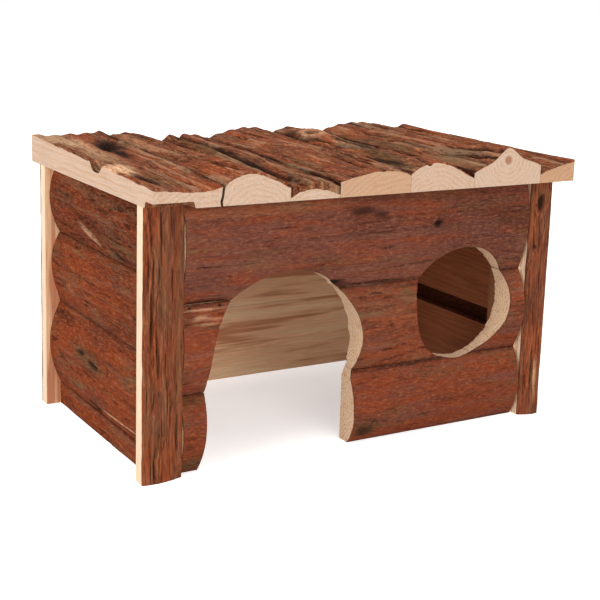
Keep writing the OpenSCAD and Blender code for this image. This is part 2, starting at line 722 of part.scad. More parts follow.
module roof_brads() { wires(all_roof_brads); }
module front_brads() { wires(concat(front_left_brads, front_cleat_brads, front_right_brads)); }
module rear_brads() { wires(concat(rear_left_brads, rear_right_brads)); }
module left_brads() { wires(concat(left_front_brads, left_rear_brads)); }
module right_brads() { wires(concat(right_front_brads, right_rear_brads)); }
module post_brads() { wires(concat(fl_brads, fr_brads, rl_brads, rr_brads)); }

front_left_post();
front_right_post();
rear_left_post();
rear_right_post();
front_bottom_left_slab();
front_bottom_right_slab();
front_middle_left_slab();
front_middle_centre_slab();
front_middle_right_slab();
front_top_slab();
left_bottom_slab();
left_lower_slab();
left_upper_slab();
left_top_slab();
right_bottom_slab();
right_middle_slab();
right_top_slab();
rear_bottom_slab();
rear_middle_slab();
rear_top_slab();
roof_slab_1();
roof_slab_2();
roof_slab_3();
roof_slab_4();
roof_slab_5();
roof_slab_6();
roof_slab_7();
front_left_batten();
front_right_batten();
rear_left_batten();
rear_right_batten();
front_cleat();
roof_front_batten();
roof_rear_batten();
roof_brads();
front_brads();
rear_brads();
left_brads();
right_brads();
post_brads();
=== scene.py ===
"""Bark house for guinea pigs: half-log slabs with real bark relief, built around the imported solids.

Lengths are worked out in millimetres in the frame of the part and put into the meshes in metres.
A slab has three directions: along its grain, across it, and out of its flat sawn face.
"""

import json
import math
from dataclasses import dataclass
from types import SimpleNamespace

import bpy
import numpy as np
from bpy.props import FloatProperty, FloatVectorProperty, PointerProperty
from mathutils import Matrix, Vector


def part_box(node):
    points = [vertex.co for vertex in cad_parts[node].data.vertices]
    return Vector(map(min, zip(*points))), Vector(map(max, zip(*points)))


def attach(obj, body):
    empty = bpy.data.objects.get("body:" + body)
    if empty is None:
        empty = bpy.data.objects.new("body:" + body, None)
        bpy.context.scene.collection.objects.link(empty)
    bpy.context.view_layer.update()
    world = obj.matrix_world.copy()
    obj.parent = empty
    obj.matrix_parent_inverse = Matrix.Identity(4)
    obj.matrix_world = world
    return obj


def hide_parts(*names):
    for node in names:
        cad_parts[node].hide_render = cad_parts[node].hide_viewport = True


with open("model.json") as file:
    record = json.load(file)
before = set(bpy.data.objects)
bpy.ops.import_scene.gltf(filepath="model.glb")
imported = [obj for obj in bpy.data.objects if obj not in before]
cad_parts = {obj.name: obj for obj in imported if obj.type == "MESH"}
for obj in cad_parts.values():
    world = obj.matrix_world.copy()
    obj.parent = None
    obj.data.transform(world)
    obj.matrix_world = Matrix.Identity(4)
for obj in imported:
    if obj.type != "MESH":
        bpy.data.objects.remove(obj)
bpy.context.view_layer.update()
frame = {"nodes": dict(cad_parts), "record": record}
BODY = "root"
MM = 0.001

bl_info = {
    "name": "Bark House",
    "version": (1, 0, 0),
    "blender": (4, 5, 0),
    "location": "View3D > Sidebar > Bark House",
    "description": "Half-log slabs, posts and roof of a small pet's house with the bark left on",
    "category": "Add Mesh",
}


@dataclass
class Facing:
    """Side that a slab faces: rows along its grain, across it and out of its flat face, and its slot.

    pith is the centre of its growth rings, from its middle across and above its flat face.
    A roof slab has a pith of its own.
    """

    axes: list
    slot: str
    pith: tuple = (0, 0)

    def __post_init__(self):
        self.axes = np.array(self.axes, float)


FACINGS = {
    "front": Facing([(1, 0, 0), (0, 0, 1), (0, -1, 0)], "front_bark", (0, -16)),
    "rear": Facing([(-1, 0, 0), (0, 0, 1), (0, 1, 0)], "side_bark", (-8, -12)),
    "left": Facing([(0, -1, 0), (0, 0, 1), (-1, 0, 0)], "side_bark", (6, -14)),
    "right": Facing([(0, 1, 0), (0, 0, 1), (1, 0, 0)], "side_bark", (6, -14)),
    "roof": Facing([(0, 1, 0), (-1, 0, 0), (0, 0, 1)], "roof_bark"),
    "front post": Facing([(0, 0, 1), (-1, 0, 0), (0, -1, 0)], "post_bark", (0, -30)),
    "rear post": Facing([(0, 0, 1), (1, 0, 0), (0, 1, 0)], "post_bark", (0, -30)),
}


@dataclass
class BarkStyle:
    """Relief of a kind of bark, with heights and pitches in millimetres.

    Heights are those of its ridges, plates, cracks and fibres. width and length are the pitches of the
    ridges across and along the grain, strand that of the fibres along and pitch that of the cracks across.
    tears, warm and flake are the shares of cracks, orange bark and flakes, split the strength of splits.
    """

    ridge: float
    width: float
    length: float
    strand: float
    plate: float
    crack: float
    tears: float
    fibre: float
    warm: float
    flake: float
    split: float
    pitch: float = 1.5


STYLES = {
    "shaggy": BarkStyle(0.7, 7, 80, 15, plate=0.4, crack=1.0, tears=0.3, fibre=0.35,
                        warm=0.5, flake=0.45, split=1.0),
    "ragged": BarkStyle(0.7, 9, 60, 13, plate=0.4, crack=0.9, tears=0.27, fibre=0.3,
                        warm=0.6, flake=0.3, split=0.25),
    "furrowed": BarkStyle(0.7, 5, 70, 22, plate=0.3, crack=0.9, tears=0.3, fibre=0.25,
                          warm=0.5, flake=0.4, split=0.15, pitch=0.9),
    "peeled": BarkStyle(0.6, 12, 50, 12, plate=0.25, crack=0.6, tears=0.26, fibre=0.2,
                        warm=0.8, flake=0.25, split=0.2),
    "smooth": BarkStyle(0.3, 12, 70, 13, plate=0.12, crack=0.35, tears=0.2, fibre=0.12,
                        warm=0.2, flake=0.3, split=0.1),
    "scaly": BarkStyle(0.5, 9, 30, 9, plate=0.25, crack=0.45, tears=0.24, fibre=0.2,
                       warm=0.65, flake=0.25, split=0.2),
    "fresh": BarkStyle(0.3, 12, 60, 9, plate=0.12, crack=0.25, tears=0.18, fibre=0.12,
                       warm=0.75, flake=0.25, split=0.05),
}


@dataclass
class Mark:
    """A spot on the bark: its place in the frame, half length along the grain, half width across it.

    lean is how far it drifts across per length, rise its height, rim the height of a raised ring at its
    border and collar how bare that ring is. The rest are strengths of its looks.
    """

    place: tuple
    along: float
    across: float
    rise: float = 0.0
    lean: float = 0.0
    rim: float = 0.0
    collar: float = 0.0
    furrow_and_shade: float = 0.0
    knot: float = 0.0
    lichen: float = 0.0
    bare: float = 0.0
    warm: float = 0.0
    calm: float = 0.0


MARK_LOOKS = ("furrow_and_shade", "knot", "lichen", "bare", "warm")
LOOKS = (*MARK_LOOKS, "flake")


@dataclass
class BarkFinish:
    """Look of one slot: strength, stretch and tan share of its fibres, saw marks, rings and colours."""

    strand: float
    stretch: float
    tan: float
    saw: float
    spacing: float
    warm: str
    cool: str
    sawn: str


FINISHES = {
    "roof_bark": BarkFinish(1.0, 10, 1.0, 0.35, 2.8, "roof_warm", "roof_cool", "roof_sawn"),
    # The posts' sawn edges take the brighter copy of the sawn wood, which paints light on them
    "post_bark": BarkFinish(0.8, 16, 0.6, 0.2, 2.1, "roof_warm", "roof_cool", "post_sawn_lit"),
    "side_bark": BarkFinish(0.7, 5, 0.65, 0.3, 2.1, "side_warm", "side_cool", "wall_sawn"),
    "front_bark": BarkFinish(0.55, 3.5, 0.7, 1.0, 2.1, "wall_warm", "wall_cool", "wall_sawn"),
}

# Knots, cracks, hollows, bare and weathered patches in the bark of each slab; the dark looks in its
# grooves and hollows are partly painted shade
MARKS = {
    "right_middle_slab": [
        # Dark band along the slab's lower edge, over its waney inside: dark bark, darkened further as
        # painted shade inside the house
        Mark((0, 0, 50), 90, 1.5, knot=0.6),
    ],
    "front_top_slab": [
        Mark((47, 0, 128.5), 3.4, 2.2, rise=-1.2, knot=1.0),
        Mark((47, 0, 128.5), 9, 5, rise=0.5, furrow_and_shade=0.35),
        Mark((-4, 0, 138.5), 9, 2.6, rise=-0.7, knot=0.75),
        Mark((8, 0, 136.5), 5, 2, rise=-0.5, knot=0.6),
        Mark((-19, 0, 97), 7, 2.2, rise=-3.5, knot=1.0),
        Mark((10, 0, 95), 26, 1.1, rise=-1.5, furrow_and_shade=0.9),
        Mark((-70, 0, 143.5), 54, 3.0, warm=1.0, bare=0.12, calm=0.6),
        Mark((95, 0, 125), 60, 25, furrow_and_shade=0.32),
        Mark((-101, 0, 93.5), 15, 2.6, rise=-1.5, furrow_and_shade=0.9, knot=0.3),
        Mark((30, 0, 104), 30, 1.0, rise=-0.7, furrow_and_shade=0.6, lean=0.06),
    ],
    "front_middle_left_slab": [
        Mark((-109, 0, 92), 1.0, 1.0, rise=-0.8, knot=1.0),
        Mark((-91, 0, 92), 1.0, 1.0, rise=-0.8, knot=1.0),
        Mark((-101, 0, 91), 14, 0.6, bare=0.5),
        Mark((-104, 0, 87), 5, 1.5, rise=-0.6, bare=0.28, lean=0.1),
        Mark((-97, 0, 86), 6, 1.0, rise=-0.6, bare=0.22, lean=-0.05),
        Mark((-101, 0, 83.5), 8, 0.7, rise=-0.8, bare=0.25, lichen=0.6),
        Mark((-96, 0, 81.5), 7, 0.8, rise=-0.9, lichen=0.9, furrow_and_shade=0.4),
    ],
    "front_bottom_left_slab": [
        Mark((-106, 0, 22), 20, 30, furrow_and_shade=0.15),
        Mark((-108, 0, 6), 9, 4, lichen=0.8, furrow_and_shade=0.5),
        Mark((-106, 0, 41), 12, 3.5, lichen=0.5, furrow_and_shade=0.3),
    ],
    "front_middle_centre_slab": [
        Mark((14, 0, 70), 44, 27, bare=0.02, warm=0.3),
        Mark((31, 0, 86), 6, 5, lichen=0.8, rise=-0.4),
        Mark((6, 0, 72), 9, 2, furrow_and_shade=0.5, rise=-0.5),
    ],
    "front_bottom_right_slab": [
        Mark((60, 0, 25), 90, 26, furrow_and_shade=0.12),
        Mark((5, 0, 10), 9, 4.5, lichen=0.7, furrow_and_shade=0.5, rise=-0.5),
        Mark((2, 0, 7), 6, 3.5, knot=0.7),
        Mark((40, 0, 43), 30, 1.0, rise=-1.2, furrow_and_shade=0.8),
    ],
    "left_top_slab": [
        Mark((0, 0, 130), 85, 22, furrow_and_shade=0.36),
        Mark((0, 46, 137), 15, 2.4, lichen=0.6, furrow_and_shade=0.4, lean=-0.05),
        Mark((0, 9, 119), 11, 1.8, rise=1.0, bare=0.4, lean=-0.35),
        Mark((0, 12, 121), 20, 1.0, rise=-1.4, furrow_and_shade=1.0, lean=-0.3),
        Mark((0, -29, 113.5), 7, 2.2, rise=-1.6, knot=0.9, lean=-0.2),
        Mark((0, 20, 128), 30, 1.2, rise=-1.0, furrow_and_shade=0.8, lean=-0.25),
        Mark((0, -45, 120), 22, 3, lichen=0.4),
    ],
    "left_upper_slab": [
        Mark((0, -20, 82), 30, 3, warm=0.6),
    ],
    "left_lower_slab": [
        Mark((0, 8, 45), 24, 4.5, lichen=0.9, furrow_and_shade=0.3, lean=-0.06),
        Mark((0, 0, 43.5), 8, 2.0, rise=-1.2, knot=0.95, lean=-0.06),
        Mark((0, 20, 46), 5, 1.6, rise=-0.8, knot=0.9),
        Mark((0, 4, 17), 9, 2.2, rise=-1.4, knot=0.95, lean=-0.1),
        Mark((0, -34, 20), 22, 0.8, rise=0.4, bare=0.7),
    ],
    "front_left_post": [
        Mark((-134.5, 0, 92), 16, 0.7, rise=-2.2, furrow_and_shade=1.0),
        Mark((-131, 0, 70), 14, 0.8, rise=-2.0, furrow_and_shade=1.0, lean=0.05),
        Mark((-118, 0, 85), 65, 2.2, lichen=0.4, rise=-0.4),
        Mark((-128, 0, 112), 30, 2.0, lichen=0.3),
        Mark((-127, 0, 46), 18, 1.6, lichen=0.4, calm=0.5),
        Mark((-122, 0, 141), 7, 2.2, knot=0.5, rise=-0.8),
    ],
    "front_right_post": [
        Mark((123.5, 0, 136), 6, 2.2, rise=-1.0, knot=1.0, rim=0.8),
        Mark((122, 0, 108), 1.2, 1.0, rise=-0.8, knot=1.0),
        Mark((127, 0, 27), 13, 1.1, rise=-1.0, bare=0.7),
        Mark((124.5, 0, 30), 15, 0.7, rise=-1.4, furrow_and_shade=1.0),
    ],
    "roof_slab_1": [
        Mark((-131, 80, 0), 32, 11, rise=-1.0, bare=0.5, lichen=0.9, calm=0.95),
        Mark((-120, 54, 0), 22, 7, rise=-0.4, bare=0.5, warm=1.0, calm=0.7),
        Mark((-124, 16, 0), 26, 9, bare=0.28, lichen=0.4, calm=0.9),
        Mark((-106, 46, 0), 20, 9, knot=1.0),
        Mark((-110, 18, 0), 16, 2.8, knot=0.95, lean=-0.05),
        Mark((-139, -14, 0), 6.5, 4.5, knot=0.8, lichen=0.4),
        Mark((-134, -32, 0), 16, 9, rise=-0.4, bare=1.0, calm=0.9),
        Mark((-126, -60, 0), 22, 9, lichen=0.55, furrow_and_shade=0.2),
        Mark((-130, -62, 0), 20, 1.2, furrow_and_shade=0.9, knot=0.5, lean=0.05),
        Mark((-106, -86, 0), 7, 15, warm=1.0, calm=0.7),
    ],
    "roof_slab_2": [
        Mark((-70, 20, 0), 50, 2, furrow_and_shade=0.7),
        Mark((-84, -30, 0), 40, 1.6, furrow_and_shade=0.8),
    ],
    "roof_slab_3": [
        # Dark groove along the slab: dark cracked bark, with painted shade in it
        Mark((-44, 4, 0), 92, 2.2, lean=-0.045, furrow_and_shade=1.0, knot=0.85),
        Mark((-49.5, 10, 0), 70, 3.4, lean=-0.045, lichen=0.95, calm=0.3),
    ],
    "roof_slab_5": [
        # Dark grooves across the slab: dark cracked bark, with painted shade in them
        Mark((44, -26, 0), 64, 2.2, lean=-0.2, furrow_and_shade=1.0, knot=0.9),
        Mark((34, -22, 0), 58, 6.0, lean=-0.19, lichen=0.95, furrow_and_shade=0.55),
        Mark((43, -2, 0), 24, 4.5, lean=-0.2, furrow_and_shade=0.9, knot=0.6),
        Mark((23, -62, 0), 28, 2.0, lean=-0.05, furrow_and_shade=1.0, knot=0.8),
        Mark((52, 34, 0), 14, 2.2, rise=-1.0, knot=0.9, lean=-0.2),
        Mark((38, 46, 0), 22, 8.0, rise=1.5, bare=0.12, warm=0.9, calm=0.75),
        Mark((35, 46, 0), 10, 3.8, rim=1.0, collar=0.4, furrow_and_shade=0.9, knot=0.2),
        Mark((33, 67, 0), 7, 3.5, furrow_and_shade=0.9, knot=0.5),
    ],
    "roof_slab_6": [
        Mark((72, 68, 0), 15, 7, warm=0.8, bare=0.08),
        Mark((69.5, 10, 0), 45, 3.0, lichen=0.9, furrow_and_shade=0.3, lean=-0.03),
        Mark((70, -64, 0), 26, 4.5, lichen=0.9, calm=0.9, bare=0.1),
        Mark((78, 0, 0), 60, 1.6, rise=-1.2, furrow_and_shade=1.0, knot=0.6, lean=-0.06),
        Mark((97, -20, 0), 40, 1.4, furrow_and_shade=0.8),
    ],
    "roof_slab_7": [
        Mark((124, 20, 0), 60, 1.3, furrow_and_shade=0.7),
    ],
}


@dataclass
class RoofSlab:
    """Plan and front section of a roof slab: width at the front and rear, then edge, crest and edge.

    peak is the place of the crest from the left, rise the extra thickness at the rear, and pith the
    centre of its growth rings: from the left edge, and above the flat face. bark is its bark's share of
    the usual thickness, and tint the share of resin in its ends.
    """

    front: float
    rear: float
    left: float
    crest: float
    right: float
    peak: float
    rise: float
    pith: tuple
    bark: float
    tint: float


ROOF = [
    RoofSlab(39.5, 44.0, 12.0, 10.0, 11.5, 0.60, 5.5, (30, -22), 1.1, 0.1),
    RoofSlab(40.5, 43.0, 11.5, 17.5, 9.0, 0.45, -2.5, (20, -12), 1.3, 0.0),
    RoofSlab(31.0, 33.0, 5.5, 9.5, 6.0, 0.48, 4.0, (16, -20), 3.2, 0.0),
    RoofSlab(46.5, 48.0, 9.0, 14.5, 10.0, 0.58, 0.5, (40, -34), 0.6, 0.8),
    RoofSlab(44.5, 37.5, 11.0, 16.0, 6.5, 0.38, -1.0, (18, -14), 0.6, 0.1),
    RoofSlab(49.5, 56.5, 9.5, 16.0, 11.5, 0.50, 0.5, (24.5, 15), 0.6, 0.0),
    RoofSlab(26.5, 16.0, 6.5, 10.5, 13.0, 0.55, 0.5, (30, -10), 0.8, 1.0),
]
BRANCH_KNOT = {"slab": 5, "height": 7.0, "half_width": 8.0, "length": 38.0}


@dataclass
class RoofMark:
    """Ridge, groove or hollow in the form of a roof slab: rise and half width in millimetres.

    Its place and half length along the slab, and its places across at the front and at the rear, are in
    percent from the slab's front end and left edge.
    """

    slab: int
    rise: float
    half_width: float
    place: float
    half_length: float
    front: float
    rear: float


ROOF_MARKS = [
    # First slab: notch in the left edge, knot hole, the worn hollow between them
    RoofMark(0, -6.0, 5.5, 42, 4.5, 0, 0),
    RoofMark(0, -5.0, 5.0, 74, 5, 74, 76),
    RoofMark(0, -2.4, 9.0, 58, 14, 36, 36),
    # Cracks along the second slab
    RoofMark(1, -1.6, 2.5, 33, 22, 33, 35),
    RoofMark(1, -1.5, 2.5, 61, 28, 63, 64),
    # Third slab: ridge and deep groove from end to end
    RoofMark(2, 1.6, 3.0, 55, 60, 11, 17),
    RoofMark(2, -4.0, 2.5, 50, 70, 28, 34),
    # Fifth slab: ridge and groove that cross it at a slant
    RoofMark(4, 0.9, 3.0, 36, 30, 19, 97),
    RoofMark(4, -3.2, 2.5, 33, 36, 28, 106),
    # Sixth slab: swollen knot with a hollow in it, and a crack
    RoofMark(5, 3.0, 7.0, 89, 8, 12, 12),
    RoofMark(5, -3.5, 3.0, 89, 4, 12, 12),
    RoofMark(5, -1.6, 2.5, 39, 22, 62, 63),
    # Crack along the seventh slab
    RoofMark(6, -1.4, 2.5, 61, 33, 25, 25),
]
# Ribs along the roof slabs: height, gap, sideways drift with its wave, and distance until they are full
RIBS = {"height": 0.4, "gap": 10.0, "drift": 2.5, "turn": 300, "phase": 97, "start": 12.0}
# Split between the first two roof slabs at the front: width, reach to the rear, shift of each wall row
SPLIT = {"width": 1.3, "reach": 9.0, "jags": (0.3, 0.6, 0.0, -0.2, -0.5)}
# Waves along a slab: size, degrees over its length, phase from one slab to the next
CREST_WAVE = (0.7, 520, 137)
PEAK_WAVE = (0.04, 400, 71)
# Step of these waves at the first roof slab
ROOF_STEP = 20
# Wandering of the grain: reach across it, pitch along it, pitch across it
GRAIN_DRIFTS = ((3.0, 40, 14), (0.7, 10, 5))

# Places of a slab's materials in its list
BARK, SAWN, PLANED = range(3)
# Rows of points in a slab's sawn walls, least share of wood and least bark in them
WALL_ROWS = 5
LEAST_WOOD = 0.3
LEAST_BARK = 0.25
# Least thickness of a slab, gap under a waney edge, step of the inside that counts as a notch
LEAST_SLAB = 2.5
WANE_GAP = 0.2
NOTCH_STEP = 0.3
# Angle between two faces from which their edge is sharp
SHARP_ANGLE = math.radians(62)
# Distance between the logs that two slabs are cut from
LOG_SPACING = 173.0
# Number of the first slab of each group: it picks the slab's log and its noise
FIRST_SLABS = {"posts": 1, "front": 11, "sides": 21, "rear": 31, "roof": 41}
# Noise seeds kept for one slab, and the ones among them for its marks, its bark's border and its splinters
SEED_STEP = 100
MARK_SEED = 70
BORDER_SEED = 90
SPLINTER_SEED = 95
# Fading of the relief at a slab's ends, at its sides and to the rear of the roof: reach and least share
END_FADE = (7, 0.3)
SIDE_FADE = (3, 0.45)
REAR_FADE = (30, 0.4)
# Painted shade in the crease where two slabs meet, laid on as dark looks: each look's reach from the edge
# and strength
ROOF_JOINT_SHADE = {"furrow_and_shade": (1.8, 1.0), "knot": (1.0, 0.5)}
WALL_JOINT_SHADE = {"furrow_and_shade": (1.3, 0.7)}
# Pitches along and across of the noise that varies the bark's thickness
BORDER_PITCHES = (9, 6)
# Fraying of a mark's outline: its strength, and the pitches of its noise along and across
FRAY = 0.7
FRAY_PITCHES = (7, 2.2)
# Half width of a mark's border as a share of its size, and pitch of the splinters
MARK_BORDER = 0.3
SPLINTER_PITCH = 1.6
# Least number of mesh steps along and across a slab
LEAST_STEPS = 8
# Height of each layer of a noise as a share of the one before
LAYER_SHARE = 0.55

# Inputs of the bark's node group and their settings, besides the warm and cool tone of each slot
BARK_COLOURS = {"Outer": "bark_outer", "Fibre": "bark_fibre", "Furrow_and_shade": "furrow_and_shade", "Lichen": "lichen",
                "Knot_and_shade": "knot"}
# Linear colour of the pale streaks in planed boards
CREAM = (1.0, 0.74, 0.46)
# Grain of the battens, which run along several axes: its stretch along x
BATTEN_STRETCH = 0.35
# Waves of the rust per metre
RUST_WAVES = 900

# Lights: place and width of the square in metres, and watts
LAMPS = {
    "front light": ((-0.2, -2.2, 0.9), 1.8, 26),
    "left light": ((-2.2, -0.4, 1.0), 1.6, 34),
    "top light": ((0.0, -0.4, 2.4), 1.6, 12),
    "rear light": ((1.2, 2.0, 0.8), 1.8, 12),
}
LAMP_AIM = Vector((0, 0, 0.08))
FLOOR_HALF = 6.0
# Glow of the floor to the camera: distances in metres where it starts and ends to rise, its strengths
# there, and how much more a distance counts in depth. The weaker glow near the house paints a soft shade
# round it, on top of its real shadow
FLOOR_GLOW = (0.06, 0.125, 0.5, 0.62)
GLOW_DEPTH = 1.6
# Strength of the surroundings as light
WORLD_LIGHT = 0.5
WHITE = (1, 1, 1, 1)
PAPER = (0.86, 0.85, 0.84, 1)
# Camera: place in metres, angles in degrees, lens and sensor in millimetres
CAMERA = {"place": (-0.4036, -0.6777, 0.2713), "turn": -30.84, "tilt": 11.78, "roll": 1.77,
          "lens": 78.29, "sensor": 36.0, "shift": -0.1}


def rgb(red, green, blue):
    """Linear colour of an 8-bit display colour."""
    c = np.array([red, green, blue]) / 255
    return tuple(np.where(c <= 0.04045, c / 12.92, ((c + 0.055) / 1.055) ** 2.4))


def length_prop(name, value, note):
    """Length setting with its default in millimetres."""
    return FloatProperty(name=name, description=note, default=value * MM, min=0.0,
                         unit="LENGTH", precision=4)


def colour_prop(name, red, green, blue, note):
    """Colour setting with its default as a display colour."""
    return FloatVectorProperty(name=name, description=note, default=rgb(red, green, blue), size=3,
                               subtype="COLOR", min=0.0, max=1.0)


class BarkHouseSizes(bpy.types.PropertyGroup):
    """Sizes of the slabs that the frame's boxes don't give."""

    grain_step: length_prop("Grain step", 0.9, "Mesh step along the grain")
    cross_step: length_prop("Cross step", 0.5, "Mesh step across the grain")
    skin: length_prop("Bark thickness", 1.3, "Thickness of the bark at a sawn edge")
    joint: length_prop("Joint closing", 0.12, "How far a slab reaches into the joint on each side")
    front_crest: length_prop("Front crest", 16, "Thickness of the front slabs at their crest")
    front_edge: length_prop("Front edge", 8.5, "Thickness of the front slabs along their edges")
    front_top_edge: length_prop("Front top edge", 11, "Thickness of the top front slab under the roof")
    side_crest: length_prop("Side crest", 15, "Thickness of the side slabs at their crest")
    strip_crest: length_prop("Strip crest", 9.5, "Thickness of the strip at the foot of the left wall")
    rear_crest: length_prop("Rear crest", 11, "Thickness of the rear slabs at their crest")
    side_edge: length_prop("Side edge", 9, "Thickness of the side slabs along their edges")
    rear_edge: length_prop("Rear edge", 6, "Thickness of the rear slabs along their edges")
    side_top_edge: length_prop("Side top edge", 11, "Thickness of the top side slabs under the roof")
    post_crest: length_prop("Post crest", 9, "Thickness of a post at its crest")
    post_outer_edge: length_prop("Post outer edge", 8.5, "Thickness of a post at the corner of the house")
    post_inner_edge: length_prop("Post inner edge", 6, "Thickness of a post next to the wall")
    door_radius: length_prop("Door radius", 48.5, "Radius of the doorway's arch")
    door_height: length_prop("Door centre", 60, "Height of the centre of the arch")
    door_foot_left: length_prop("Left foot", 53.5, "Left foot of the doorway from the arch's centre")
    door_foot_right: length_prop("Right foot", 44, "Right foot of the doorway from the arch's centre")
    window_radius: length_prop("Window radius", 35, "Radius of the round window")
    window_height: length_prop("Window centre", 77, "Height of the centre of the window")
    wane_height: length_prop("Wane height", 11, "Height of the waney inner edge of the right wall")
    wane_depth: length_prop("Wane depth", 4.5, "Depth of that waney edge")
    ragged: length_prop("Splinters", 0.9, "How far the inner edges of doorway and window are splintered")
    notch: length_prop("Roof notch", 3.5, "Notch under the first roof slab, in front of the left post")


class BarkHouseColours(bpy.types.PropertyGroup):
    """Colours of bark and wood."""

    roof_warm: colour_prop("Warm roof bark", 146, 70, 38, "Orange-red inner bark of the roof and posts")
    roof_cool: colour_prop("Cool roof bark", 116, 66, 47, "Brown bark of the roof and posts")
    side_warm: colour_prop("Warm side bark", 128, 56, 27, "Orange-red inner bark of the side walls")
    side_cool: colour_prop("Cool side bark", 98, 50, 35, "Brown bark of the side walls")
    wall_warm: colour_prop("Warm wall bark", 132, 62, 37, "Orange-red inner bark of the front wall")
    wall_cool: colour_prop("Cool wall bark", 112, 66, 54, "Purple-brown smooth bark of the front wall")
    bark_outer: colour_prop("Outer bark", 112, 73, 50, "Grey-brown flakes of outer bark")
    bark_fibre: colour_prop("Bark fibre", 196, 132, 86, "Tan fibres on the ridges")
    # Furrow colour: dark cracks in the bark, and painted shade in its hollows and grooves and along the
    # joints between slabs
    furrow_and_shade: colour_prop("Furrow_and_shade", 44, 25, 17, "Bottom of a crack in the bark")
    lichen: colour_prop("Weathered bark", 114, 88, 58, "Olive-brown weathered bark")
    # Knot colour: dark knots and knot holes, and painted shade in grooves, along the roof's joints and at
    # the right wall's waney edge
    knot: colour_prop("Knot_and_shade", 30, 19, 14, "Dark knots and hollows")
    wall_sawn: colour_prop("Sawn wood", 234, 202, 168, "Pale sawn ends and cuts of the walls")
    roof_sawn: colour_prop("Sawn roof ends", 206, 177, 154, "Greyer sawn ends of the roof slabs")
    sap: colour_prop("Resin tint", 242, 222, 200, "Tint of the roof ends that have more resin")
    # Painted light: a brighter copy of the sawn wood, standing in for the light that falls on the posts'
    # side edges
    post_sawn_lit: colour_prop("Sawn post edges", 246, 218, 186, "Bright sawn edges of the posts")
    ring: colour_prop("Growth ring", 196, 152, 116, "Late wood of a growth ring")
    planed: colour_prop("Planed wood", 250, 204, 160, "Planed faces inside")
    planed_ring: colour_prop("Planed grain", 202, 132, 94, "Grain lines of the planed faces")
    strip: colour_prop("Batten wood", 158, 106, 72, "Darker planed strips inside")
    # Painted shade: the right wall's planed inside is a darker copy of the planed wood, for the shade
    # inside the house; its grain colour also serves the battens
    shaded_planed: colour_prop("Shaded_planed_wood", 168, 104, 68, "Planed face of the right wall, cut nearer to the heart")
    shaded_and_batten_grain: colour_prop("Heartwood grain", 112, 62, 38, "Grain lines of the shaded_planed_wood")
    steel: colour_prop("Brad wire", 70, 56, 48, "Weathered steel of the brads")
    rust: colour_prop("Brad rust", 92, 60, 42, "Rust on the brads")


def settings():
    """The sizes in millimetres, as plain attributes, so that the formulas below need no units."""
    group = bpy.context.scene.bark_house_sizes
    return SimpleNamespace(**{key: getattr(group, key) / MM for key in BarkHouseSizes.__annotations__})


# Noise and shape formulas


def smooth(x, low, high):
    """Smoothstep: 0 below low, 1 above high, 3t^2 - 2t^3 between."""
    t = np.clip((x - low) / (high - low), 0, 1)
    return t * t * (3 - 2 * t)


def eased(x, reach, least):
    """Share that rises smoothly from least at 0 to 1 at reach."""
    return least + (1 - least) * smooth(x, 0, reach)


def between(low, high, share):
    """Point at a share of the way from low to high."""
    return low + (high - low) * share


def noise(x, y, seed):
    """Value noise from 0 to 1: random heights on a unit lattice, blended with quintic fades."""
    size = 256
    table = np.random.default_rng(seed).random((size, size))
    xi, yi = np.floor(x).astype(int), np.floor(y).astype(int)
    fx, fy = x - xi, y - yi
    fx = fx ** 3 * (fx * (fx * 6 - 15) + 10)
    fy = fy ** 3 * (fy * (fy * 6 - 15) + 10)
    x0, x1, y0, y1 = xi % size, (xi + 1) % size, yi % size, (yi + 1) % size
    near = table[x0, y0] * (1 - fx) + table[x1, y0] * fx
    far = table[x0, y1] * (1 - fx) + table[x1, y1] * fx
    return near * (1 - fy) + far * fy


def layered(x, y, seed, octaves=3):
    """Sum of noises, each at twice the frequency and about half the height of the one before."""
    weights = LAYER_SHARE ** np.arange(octaves)
    total = sum(w * noise(x * 2 ** k, y * 2 ** k, seed + k) for k, w in enumerate(weights))
    return total / weights.sum()


def section(u, low, crest, high, peak):
    """Bark height across a slab: a line from edge to edge, and on it the parabola 4w(1 - w), w = u^k.

    The exponent k puts the top of the parabola at peak.
    """
    w = np.clip(u, 0, 1) ** (math.log(0.5) / np.log(peak))
    return low + (high - low) * u + (crest - low - (high - low) * peak) * 4 * w * (1 - w)


def wave(t, step, size, turn, phase):
    """Sine wave over the share t of a slab's length."""
    return size * np.sin(np.radians(turn * t + phase * step))


def wandering(u, t, low, crest, high, peak, step):
    """Section of a slab whose crest and place of the crest wander along it in sine waves."""
    return section(u, low, crest + wave(t, step, *CREST_WAVE), high, peak + wave(t, step, *PEAK_WAVE))


def roof_relief(i, t, v, width, length):
    """Ribs and marks of a roof slab at the shares t along and v across from its left edge.

    Ribs are a sine of the distance across plus a drift that is a sine of t. A mark is its rise times
    exp(-x^2) of the distance across in half widths, times exp(-y^4) of the one along in half lengths.
    """
    drift = wave(t, i, RIBS["drift"], RIBS["turn"], RIBS["phase"])
    angle = np.radians(360 / RIBS["gap"] * (v * width + drift) + RIBS["phase"] * i)
    relief = RIBS["height"] * (1 - np.exp(-(t * length / RIBS["start"]) ** 2)) * np.sin(angle)
    for mark in ROOF_MARKS:
        if mark.slab == i:
            off = (v - between(mark.front, mark.rear, t) / 100) * width / mark.half_width
            reach = (100 * t - mark.place) / mark.half_length
            relief = relief + mark.rise * np.exp(-off ** 2 - reach ** 4)
    return relief


